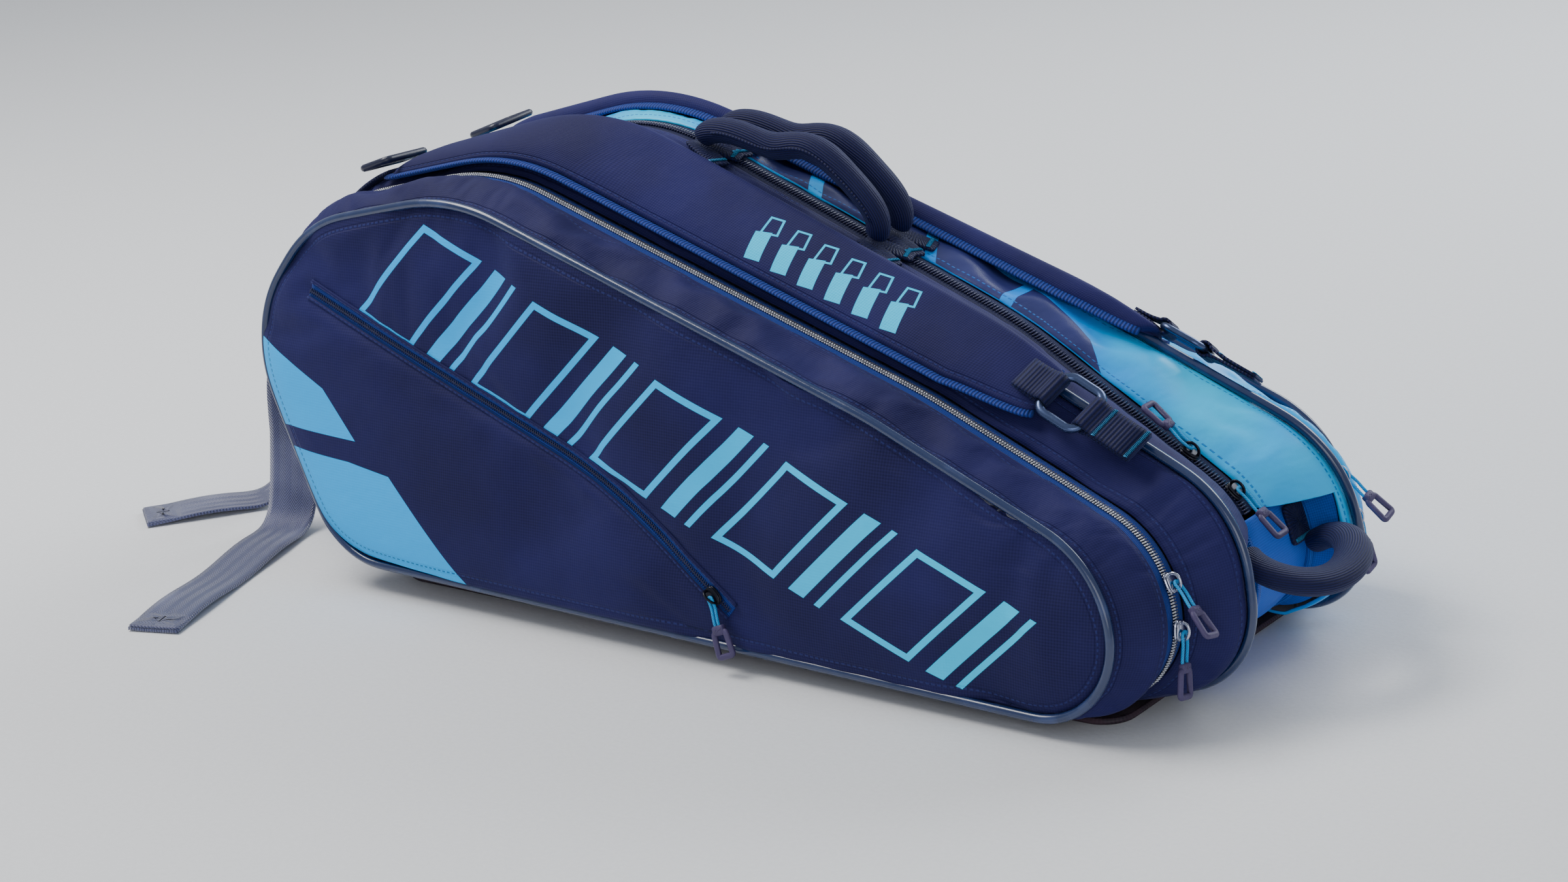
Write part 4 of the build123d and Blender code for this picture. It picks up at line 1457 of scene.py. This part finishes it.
# ---- sliders and pulls ---------------------------------------------------------------------------
def slider_frames(name):
    """Local frames of a slider and of its pull, from their joints."""
    swing = joint(f"{name}_pull_swing")
    pivot = np.array(swing["pos_m"])
    pull_x = -np.array(swing["axis"])
    up_zip = unit(np.array(joint(f"{name}_slider_run")["axis"]))
    z = unit(np.cross(pull_x, up_zip))
    z = z * (1 if z @ (pivot - np.array(INSIDE)) > 0 else -1)
    pull_centre = points(f"{name}_pull").mean(0)
    down = unit(pull_centre - pivot)
    pull_z = unit(np.cross(pull_x, -down))
    base = pivot - z * 5.1 * MM
    return (base, np.cross(up_zip, z), up_zip, z), (pivot, pull_x, -down, pull_z)


def slider(name, body_material):
    """A zip's slider with its bail, and the cord, tab and collar of its pull."""
    (origin, x, y, z), (pivot, px, py, pz) = slider_frames(name)
    a = math.tau * np.arange(40) / 40
    cx = squared(np.cos(a), 0.7) * 4.7 * MM * (1 + 0.12 * np.sin(a))
    cy = squared(np.sin(a), 0.7) * 6.5 * MM
    outline = cx[:, None] * x + cy[:, None] * y
    profile = ((0.9, 0.0), (1.0, 0.12), (1.0, 0.3), (0.86, 0.36), (0.86, 0.62), (1.0, 0.68),
               (1.0, 0.88), (0.9, 1.0), (0.5, 1.06), (0.08, 1.07))
    rings = [origin + outline * size + z * (height * 3.2 * MM) for size, height in profile]
    body = closed_sheet(f"{name}_slider_body", rings, body_material)
    slot = "black_slider" if body_material is slider_black else "silver_slider"
    place(body, f"{name}_slider", f"{name}_slider", slot=slot)
    arch = []
    for a in np.linspace(0, math.pi, 15):
        arch.append(origin + y * 5.2 * MM * math.cos(a) + z * (2.6 + 5.4 * abs(math.sin(a)) ** 0.7) * MM)
    bail_size = 1.1 * MM, 0.75 * MM
    bail = tube(f"{name}_slider_bail", arch, 1.0, body_material, sides=10, squeeze=bail_size, up=x)
    place(bail, f"{name}_slider")
    half = 1.5 * MM if name == "pocket" else 2.6 * MM
    bend = []
    for a in np.linspace(0, math.pi, 13):
        bend.append(pivot - px * half * math.cos(a) + py * half * (math.sin(a) - 1))

    def leg(end, run):
        return [end - py * d * MM + px * 0.5 * MM * math.sin(d * 0.3) for d in run]

    line = leg(bend[0], np.linspace(21, 1, 20)) + bend + leg(bend[-1], np.linspace(1, 21, 20))
    loop = tube(f"{name}_pull_cord", line, 1.0 * MM, cord, sides=8, up=pz)
    place(loop, f"{name}_pull", f"{name}_pull", slot="pull_rubber")
    centre = pivot - py * 31 * MM
    tab_size = 20 * MM, 15 * MM, 1.8 * MM, 2.1 * MM, 1.8 * MM
    tab = hoop(f"{name}_pull_tab", (centre, -py, px, pz), *tab_size, rubber, taper=-0.1)
    place(tab, f"{name}_pull")
    collar_at = (centre + py * 9.5 * MM - pz * 1.9 * MM, py, px, pz)
    collar = box_patch(f"{name}_pull_collar", collar_at, 6 * MM, 9 * MM, 3.8 * MM, rubber, 0.4)
    place(collar, f"{name}_pull")


# ---- tails -------------------------------------------------------------------------------------------
TAIL_BEND_R = 24 * MM
TAIL_LEAN = 20 * MM        # how far the hanging stretch drifts along its heading
TAIL_WIDTH = 38 * MM
TAIL_REST = 1.4 * MM       # height of its middle where it lies on the ground
TAILS = {
    NEAR: dict(start=(-0.390, -0.058), heading=(0.30, -0.954), top=0.112, reach=0.236),
    FAR: dict(start=(-0.421, -0.020), heading=(-0.61, -0.792), top=0.100, reach=0.128),
}


def tail_line(start, heading, top, reach, root):
    """The middle of a tail: from the bag's tall end down to a bend and along the ground."""
    flat = [(0.0, top), (TAIL_LEAN * 0.5, top * 0.55)]
    for angle in np.radians(np.linspace(10, 90, 9)):
        along = TAIL_LEAN + TAIL_BEND_R * (1 - math.cos(angle))
        flat.append((along, TAIL_REST + TAIL_BEND_R * (1 - math.sin(angle))))
    for along in np.linspace(TAIL_LEAN + TAIL_BEND_R * 1.4, reach, 24):
        lift = 1.6 * MM * (1 - math.cos(55 * (along - TAIL_LEAN))) if along < reach - 12 * MM else 0.0
        flat.append((along, TAIL_REST + lift))
    x, y = start
    line = [root] + [(x + heading[0] * along, y + heading[1] * along, up) for along, up in flat]
    line = np.array(line)
    line = at_lengths(line, np.linspace(0, run_length(line)[-1], 90))
    for _ in range(12):
        line[1:-1] = (line[:-2] + 2 * line[1:-1] + line[2:]) / 4
    return line


def tails():
    """The two loose ends of webbing, each fixed to the tall end and turning as it comes down."""
    cloud = points("webbing_tails")
    for side, numbers in TAILS.items():
        heading = numbers["heading"]
        mine = cloud[cloud[:, 1] < 0] if side == NEAR else cloud[cloud[:, 1] > 0]
        root = mine[mine[:, 2] > mine[:, 2].max() - 4 * MM].mean(0)
        line = tail_line(root=root, **numbers)
        hanging = np.array([-heading[1], heading[0], 0])
        upright = np.array([0.0, 1.0, 0.0])
        if hanging @ upright < 0:
            upright = -upright
        free_z = 0.6 * numbers["top"]
        share = np.clip((line[:, 2] - free_z) / (root[2] - free_z), 0, 1)
        share = (share * (np.arange(len(line)) < len(line) // 2))[:, None]
        across = unit(hanging * (1 - share) + upright * share)
        rows = []
        for step in np.linspace(-1, 1, 9):
            curl = np.array([0, 0, 0.5 * MM * step ** 2])
            rows.append(line + across * step * TAIL_WIDTH / 2 + curl)
        obj = sheet(f"{side}_tail_webbing", rows, tail_webbing, closed=False)
        thicken(obj, 2 * MM, offset=0)
        settle(obj)
        if side == NEAR:
            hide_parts("webbing_tails")
        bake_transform(obj)
        ahead = np.array([*heading, 0.0])
        tip = line[-1] - ahead * 14 * MM
        tip[2] = 2.4 * MM
        frame3 = (tip, ahead, np.array([heading[1], -heading[0], 0]), np.array([0, 0, 1.0]))
        hem = box_patch(f"{side}_tail_hem", frame3, 27 * MM, TAIL_WIDTH, 2.2 * MM, tail_webbing, 0.12)
        place(hem, "root", slot="webbing")
        up_root = np.array([0, 0, 1.0])
        out_root = np.array([-1.0, 0, 0])
        foot3 = (root + out_root * 0.5 * MM - up_root * 8 * MM, up_root, np.array([0, 1.0, 0]), out_root)
        foot = box_patch(f"{side}_tail_foot", foot3, 26 * MM, TAIL_WIDTH, 2.6 * MM, webbing, 0.12)
        place(foot, f"{side}_half", slot="webbing")
        bartack_row(f"{side}_tail_bartack", foot3, 0.0, TAIL_WIDTH - 6 * MM, 2.9 * MM, f"{side}_half")


# ---- the bag's body ------------------------------------------------------------------------------------
def soft_shell(side):
    """The fabric sheets of one half that go through the cloth simulation."""
    outer = navy if side == NEAR else blue
    seed = 0.0 if side == NEAR else 5.0
    made = {"panel": side_panel(side, navy_panel if side == NEAR else blue_panel)}
    for key, a, b, material, bulge, numbers in (
        ("outer", mix(PANEL, ZIP, 0.05), ZIP, outer, FULLNESS, dict(seed=seed + 1.0, b_dy=-9.5 * MM)),
        ("middle", ZIP, DIVIDER, outer, FULLNESS,
         dict(seed=seed + 2.0, a_dy=9.8 * MM, b_dy=-1.0 * MM, pressure=1.2)),
        ("centre", DIVIDER, MIDDLE, navy if side == NEAR else blue_top, 4 * MM,
         dict(seed=seed + 3.0, a_dy=1.0 * MM, b_dy=-9.8 * MM, pressure=0.5, slack=0.015)),
    ):
        name = f"{side}_{key}_band_cover"
        made[key] = soft_band(name, a, b, material, bulge, RIM_IN, **numbers)
    if side == FAR:
        for key in ("outer", "middle", "centre"):
            set_coords(made[key], mirror(coords(made[key]), FAR))
            flip(made[key])
    return made


def dress_half(side, made):
    """Cuts, lines and mounts one half's sheets, and adds its piping, zips and walls."""
    half, slot = f"{side}_half", OUTER_SLOT[side]
    finish_panel(made["panel"], side)
    outer = made["outer"]
    refine(outer)
    base_strip = copy_of(outer, f"{side}_base_strip_cover")
    hinge, normal = (Vector(mirror(np.array(v), side)) for v in (HINGE, LID_CUT_NORMAL))
    keep_side(outer, hinge, normal)
    keep_side(base_strip, hinge, -normal)
    middle, centre = made["middle"], made["centre"]
    refine(middle)
    refine(centre)
    gap = 0.8 * MM
    y_low, y_high = (-GUSSET_Y - gap, None) if side == NEAR else (None, GUSSET_Y + gap)
    cut_box(centre, (GUSSET_X - gap, y_low, None), (None, y_high, GUSSET_Z + gap))
    for cover, body, node in (
        (outer, f"{side}_lid", "outer_band"),
        (base_strip, half, "base_strip"),
        (middle, half, "middle_band"),
        (centre, half, "centre_band"),
    ):
        thicken(cover, LINING_T, lining)
        place(cover, body, f"{side}_{node}", slot=slot)
    u = np.linspace(0, 1, 420, endpoint=False)
    for name, seam, body in (("panel_piping", PANEL, "lid"), ("divider_piping", DIVIDER, "half")):
        line = mirror(seam.at(u), side)
        cord_piece = tube(f"{side}_{name}_cord", line, PIPING_R, piping, sides=12, closed=True)
        place(cord_piece, f"{side}_{body}", f"{side}_{name}", slot="piping")
    silver, dark = (tape_royal, coil_silver), (tape_navy, coil_navy)
    for part, seam, way, body, looks, slot, numbers in (
        ("body_zip", ZIP, 1, "half", silver, "silver_zip", ()),
        ("lid_zip", ZIP, -1, "lid", silver, "silver_zip", lid_range()),
        ("centre_zip", MIDDLE, -1, "half", dark, "navy_zip", (*centre_range(), 2.3 * MM, 1.2)),
    ):
        tape, teeth = zip_side(f"{side}_{part}", seam, side, way, looks, *numbers)
        place(tape, f"{side}_{body}", f"{side}_{part}_tape", slot=slot)
        place(teeth, f"{side}_{body}")
    divider_wall(side)


def divider_wall(side):
    """The padded wall between two compartments."""
    rows = patch(DIVIDER, 8 * MM, 81, 31)
    inward, _ = rim_distance(rows.reshape(-1, 2), DIVIDER, 8 * MM)
    height = 0.8 * MM * (1 - np.exp(-inward / (10 * MM))) + 0.6 * MM
    obj = wall(f"{side}_divider_wall", DIVIDER, side, rows, height, lining)
    thicken(obj, 3 * MM)
    place(obj, f"{side}_half", f"{side}_divider", slot="lining")


def pocket_zip():
    """The pocket's zip, laid on the panel: a dark coil between two folds, on royal-blue tape."""
    panel = bpy.data.objects["near_side_panel_cover"]
    graph = bpy.context.evaluated_depsgraph_get()
    skin = panel.evaluated_get(graph)
    path = pocket_curve(190)
    ahead2 = unit(np.gradient(path, axis=0))
    above = np.c_[-ahead2[:, 1], ahead2[:, 0]]
    above = above * np.sign(above[:, 1:2])

    def on_skin(offset, lift):
        """A line on the panel beside the pocket's path, lifted off the fabric."""
        line = []
        for (x, z), (nx, nz) in zip(path, above):
            px, pz = x + nx * offset, z + nz * offset
            hit, where, _, _ = skin.ray_cast(Vector((px, -0.4, pz)), Vector((0, 1, 0)))
            y = where.y if hit else PANEL.foot + PANEL.lean * pz
            line.append((px, y - lift, pz))
        line = np.array(line)
        line[:, 1] = np.convolve(np.pad(line[:, 1], 4, mode="edge"), np.ones(9) / 9, "valid")
        return line

    rows = [on_skin(offset * MM, 0.5 * MM) for offset in (-3.8, 0, 3.0, 6.6)]
    tape = sheet("pocket_zip_tape", rows, tape_royal, closed=False, turn=INSIDE)
    thicken(tape, 0.7 * MM)
    place(tape, "near_lid", "pocket_zip", slot="navy_zip")
    base = on_skin(0.0, 1.0 * MM)
    pitch = 1.7 * MM
    for tag, sign in (("low", -1), ("high", 1)):
        s = np.arange(0.5 if sign > 0 else 0.0, run_length(base)[-1] / pitch - 1) * pitch
        at = at_lengths(base, s)
        forward = unit(np.gradient(at, axis=0))
        inward = unit(np.cross(forward, np.array([0, -1, 0])))
        inward = inward * np.sign(-sign * inward[:, 2:3])
        at = at - inward * 2.4 * MM
        upward = np.broadcast_to(np.array([0.0, -1.0, 0.0]), at.shape)
        name = f"pocket_zip_teeth_{tag}"
        teeth = chain(name, at, forward, inward, upward, coil_navy, 3.0 * MM, 0.62 * MM)
        place(teeth, "near_lid")
    for name, offset, radius in (("pocket_zip_fold", 7.4, 1.5 * MM), ("pocket_edge_fold", -4.6, 1.3 * MM)):
        line = on_skin(offset * MM, 0.6 * MM)
        place(tube(name, line, 1.0, navy, sides=10, squeeze=(radius, radius)), "near_lid")


def on_centre_band(u, y, out):
    """Points of the near centre band that lie y away from the middle, moved outwards by out."""
    outer, inner = DIVIDER.at(u, out), MIDDLE.at(u, out)
    share = (-y - outer[:, 1]) / (inner[:, 1] - outer[:, 1])
    return outer + (inner - outer) * share[:, None]


def end_gusset():
    """Blue fabric between the halves at the narrow end, with a small zip, binding and side skins."""
    u_all = np.linspace(0.0, 0.5, 1500)
    p = MIDDLE.at(u_all)
    inside = (p[:, 0] > GUSSET_X) & (p[:, 2] < GUSSET_Z)
    u = np.linspace(u_all[inside].min(), u_all[inside].max(), 60)
    rows = []
    for t in np.linspace(-1, 1, 25):
        swell = 3.2 * MM * (1 - abs(t) ** 2.5)
        ripple = np.array([1.2 * MM * noise.noise(Vector((t * 2.2, v * 55, 4.0))) * (1 - t * t) for v in u])
        out = (swell + ripple)[:, None] * MIDDLE.outward(u)
        rows.append(MIDDLE.at(u, -4.6 * MM, t * GUSSET_Y) + out)
    obj = sheet("end_gusset_cover", rows, gusset_blue, closed=False, turn=INSIDE)
    refine(obj)
    thicken(obj, LINING_T, lining)
    place(obj, "root", "end_gusset", slot="blue_coated_fabric")
    zip_u = np.linspace(u[0] + (u[-1] - u[0]) * 0.42, u[-1] - 0.012, 60)
    tape_rows = [MIDDLE.at(zip_u, -0.7 * MM, y * MM) for y in (-20, -16, -12)]
    tape = sheet("gusset_zip_tape", tape_rows, tape_blue, closed=False, turn=INSIDE)
    thicken(tape, TAPE_T)
    place(tape, "root", slot="silver_zip")
    at_u = np.linspace(zip_u[0], zip_u[-1], 52)
    ahead = unit(MIDDLE.at(at_u + 1e-4) - MIDDLE.at(at_u - 1e-4))
    up = MIDDLE.outward(at_u)
    for tag, sign in SIGN.items():
        reach = np.broadcast_to(np.array([0.0, -sign, 0.0]), ahead.shape)
        shift = 0.0 if sign < 0 else 0.5 * (at_u[1] - at_u[0])
        stand = MIDDLE.at(at_u + shift, 0.4 * MM, -16 * MM + sign * 2.4 * MM)
        teeth = chain(f"gusset_zip_teeth_{tag}", stand, ahead, reach, up, coil_blue, 3.0 * MM, 0.6 * MM)
        place(teeth, "root")
    for tag, sign in SIGN.items():
        line = MIDDLE.at(u, -2.6 * MM, sign * (GUSSET_Y - 1.0 * MM))
        bound = tube(f"gusset_binding_{tag}", line, 1.0, tape_blue, sides=10, squeeze=(2.6 * MM, 1.8 * MM))
        place(bound, "root")
        edge = MIDDLE.at(u, -5.4 * MM, -(GUSSET_Y - 2 * MM))
        fold = MIDDLE.at(u, -9.0 * MM, -(GUSSET_Y + 1 * MM))
        band_edge = on_centre_band(u, GUSSET_Y + 3 * MM, -4.6 * MM)
        skin_rows = [mirror(row, tag) for row in (edge, fold, (fold + band_edge) / 2, band_edge)]
        skin = sheet(f"gusset_side_{tag}", skin_rows, gusset_blue, closed=False, turn=INSIDE)
        refine(skin)
        start, finish = ((0.35, sign * (GUSSET_Y + y), 0.05) for y in (-2 * MM, 3 * MM))
        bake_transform(skin)
        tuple(start)
        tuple(finish)


def base():
    """The base: a covered plate, the board inside and the skirts that join it to both halves."""
    centre = np.array([(BASE_LOW.x + BASE_HIGH.x) / 2, 0.0, 0.0])
    size = BASE_HIGH - BASE_LOW
    plate = rounded_plate("base_cover", centre, size, 22 * MM, BASE_LOW.z, BASE_HIGH.z, base_cover)
    place(plate, "root", "base_panel", slot="base_fabric")
    low, high = corners_of("base_board")
    board = rounded_plate("base_board_cover", centre, high - low, 18 * MM, low.z, high.z, lining)
    place(board, "root", "base_board", slot="board")
    for side, sign in SIGN.items():
        u_low = np.linspace(-0.16, 0.16, 90)
        top = mix(PANEL, ZIP, 0.3).at(u_low, -1.0 * MM)
        over_base = (top[:, 0] > BASE_LOW.x + 20 * MM) & (top[:, 0] < BASE_HIGH.x - 20 * MM)
        top = top[over_base & (top[:, 2] < 0.03)]
        bottom = top.copy()
        bottom[:, 1] = sign * (BASE_HIGH.y - 3 * MM)
        bottom[:, 2] = BASE_HIGH.z - 1 * MM
        top = mirror(top, side)
        middle = (top + bottom) / 2 + np.array([0, sign * 2 * MM, 0])
        skirt = sheet(f"{side}_base_skirt", [bottom, middle, top], base_cover, closed=False, turn=INSIDE)
        refine(skirt)
        start, finish = (0, sign * 0.128, 0.004), (0, sign * 0.148, 0.012)
        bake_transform(skirt)
        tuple(start)
        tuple(finish)


def rounded_plate(name, centre, size, corner, low, high, material):
    """A flat plate with rounded corners and a softened edge."""
    edge = 1.2 * MM
    x, y = size[0] / 2 - corner, size[1] / 2 - corner
    rings = []
    for grow, z in ((-1.6, low), (-1, low), (0, low + edge), (0, high - edge), (-1, high), (-1.6, high)):
        arcs = corner_arcs(x, y, corner + grow * edge, 8)
        rings.append(centre + np.c_[arcs, np.full(len(arcs), z)])
    obj = closed_sheet(name, rings, material)
    flat_faces = [p.normal.z ** 2 > 0.9 for p in obj.data.polygons]
    obj.data.polygons.foreach_set("use_smooth", [not f for f in flat_faces])
    return obj


# ---- build ----------------------------------------------------------------------------------------------
halves = {side: soft_shell(side) for side in (NEAR, FAR)}
run_cloth()
for side in (NEAR, FAR):
    dress_half(side, halves[side])
    strap_pad(side)
    strap_fittings(side)
    lower_webbing(side)
    carry_handle(side)
pocket_zip()
end_gusset()
end_handle()
base()
tails()
for name in ("near_upper", "near_lower", "far_upper", "far_lower"):
    slider(name, slider_silver)
for name in ("centre_upper", "centre_lower", "pocket"):
    slider(name, slider_black)


# ---- floor, light and camera -----------------------------------------------------------------------------
def floor():
    """A pale, slightly speckled ground."""
    g = Graph("floor")
    speck = g.noise(300.0, 3.0)
    tone = g.mix(speck, (0.70, 0.71, 0.73), (0.78, 0.79, 0.81))
    g.set(Base_Color=tone, Roughness=0.8, Normal=g.bump(speck, 0.2 * MM))
    reach = 12.0
    spread = np.linspace(-reach, reach, 5)
    rows = [[(x, y, -0.2 * MM) for x in spread] for y in spread]
    obj = sheet("floor", rows, g.material, closed=False)
    if obj.data.polygons[0].normal.z < 0:
        flip(obj)
    obj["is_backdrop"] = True


def area_light(name, place_at, aim, size, power, tint=(1, 1, 1)):
    light = bpy.data.lights.new(name, "AREA")
    light.shape = "RECTANGLE"
    light.size = size
    light.size_y = size * 0.7
    light.energy = power
    light.color = tint
    obj = bpy.data.objects.new(name, light)
    obj.location = place_at
    obj.rotation_euler = (Vector(aim) - Vector(place_at)).to_track_quat("-Z", "Y").to_euler()
    scene.collection.objects.link(obj)


def studio():
    """A pale sky and three area lights."""
    world = bpy.data.worlds.new("studio")
    scene.world = world
    world.use_nodes = True
    background = world.node_tree.nodes["Background"]
    background.inputs[0].default_value = (0.80, 0.84, 0.90, 1)
    background.inputs[1].default_value = 0.55
    area_light("key", (-1.2, -0.4, 2.2), (0, 0, 0.1), 1.6, 62, (1.0, 0.98, 0.95))
    area_light("rim", (0.6, 2.2, 1.5), (0, 0, 0.2), 1.8, 48, (0.9, 0.95, 1.0))
    area_light("fill", (1.8, -2.2, 1.0), (0.1, 0, 0.1), 1.8, 16, (0.95, 0.97, 1.0))


def camera():
    """The photo's viewpoint: azimuth 37.7 degrees, 18.2 up, rolled 4.2, 2.25 m from its target."""
    azimuth, elevation, roll = (math.radians(a) for a in (37.70, 18.21, -4.16))
    level = Vector((math.cos(azimuth), math.sin(azimuth), 0))
    away = Vector((math.sin(azimuth), -math.cos(azimuth), 0))
    back = away * math.cos(elevation) + Vector((0, 0, math.sin(elevation)))
    upright = back.cross(level)
    right = level * math.cos(roll) + upright * math.sin(roll)
    up = upright * math.cos(roll) - level * math.sin(roll)
    data = bpy.data.cameras.new("camera")
    data.sensor_width = 36
    data.lens = 76.33
    obj = bpy.data.objects.new("camera", data)
    target = Vector((0.0122, 0.0030, 0.0963))
    distance = 2.2518
    turn = Matrix((right, up, back)).transposed().to_4x4()
    obj.matrix_world = Matrix.Translation(target + back * distance) @ turn
    scene.collection.objects.link(obj)
    scene.camera = obj


floor()
studio()
camera()

visual_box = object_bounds()
sizes = {name: [[float(c) for c in corner] for corner in box] for name, box in (("cad", cad_box), ("visual", visual_box))}
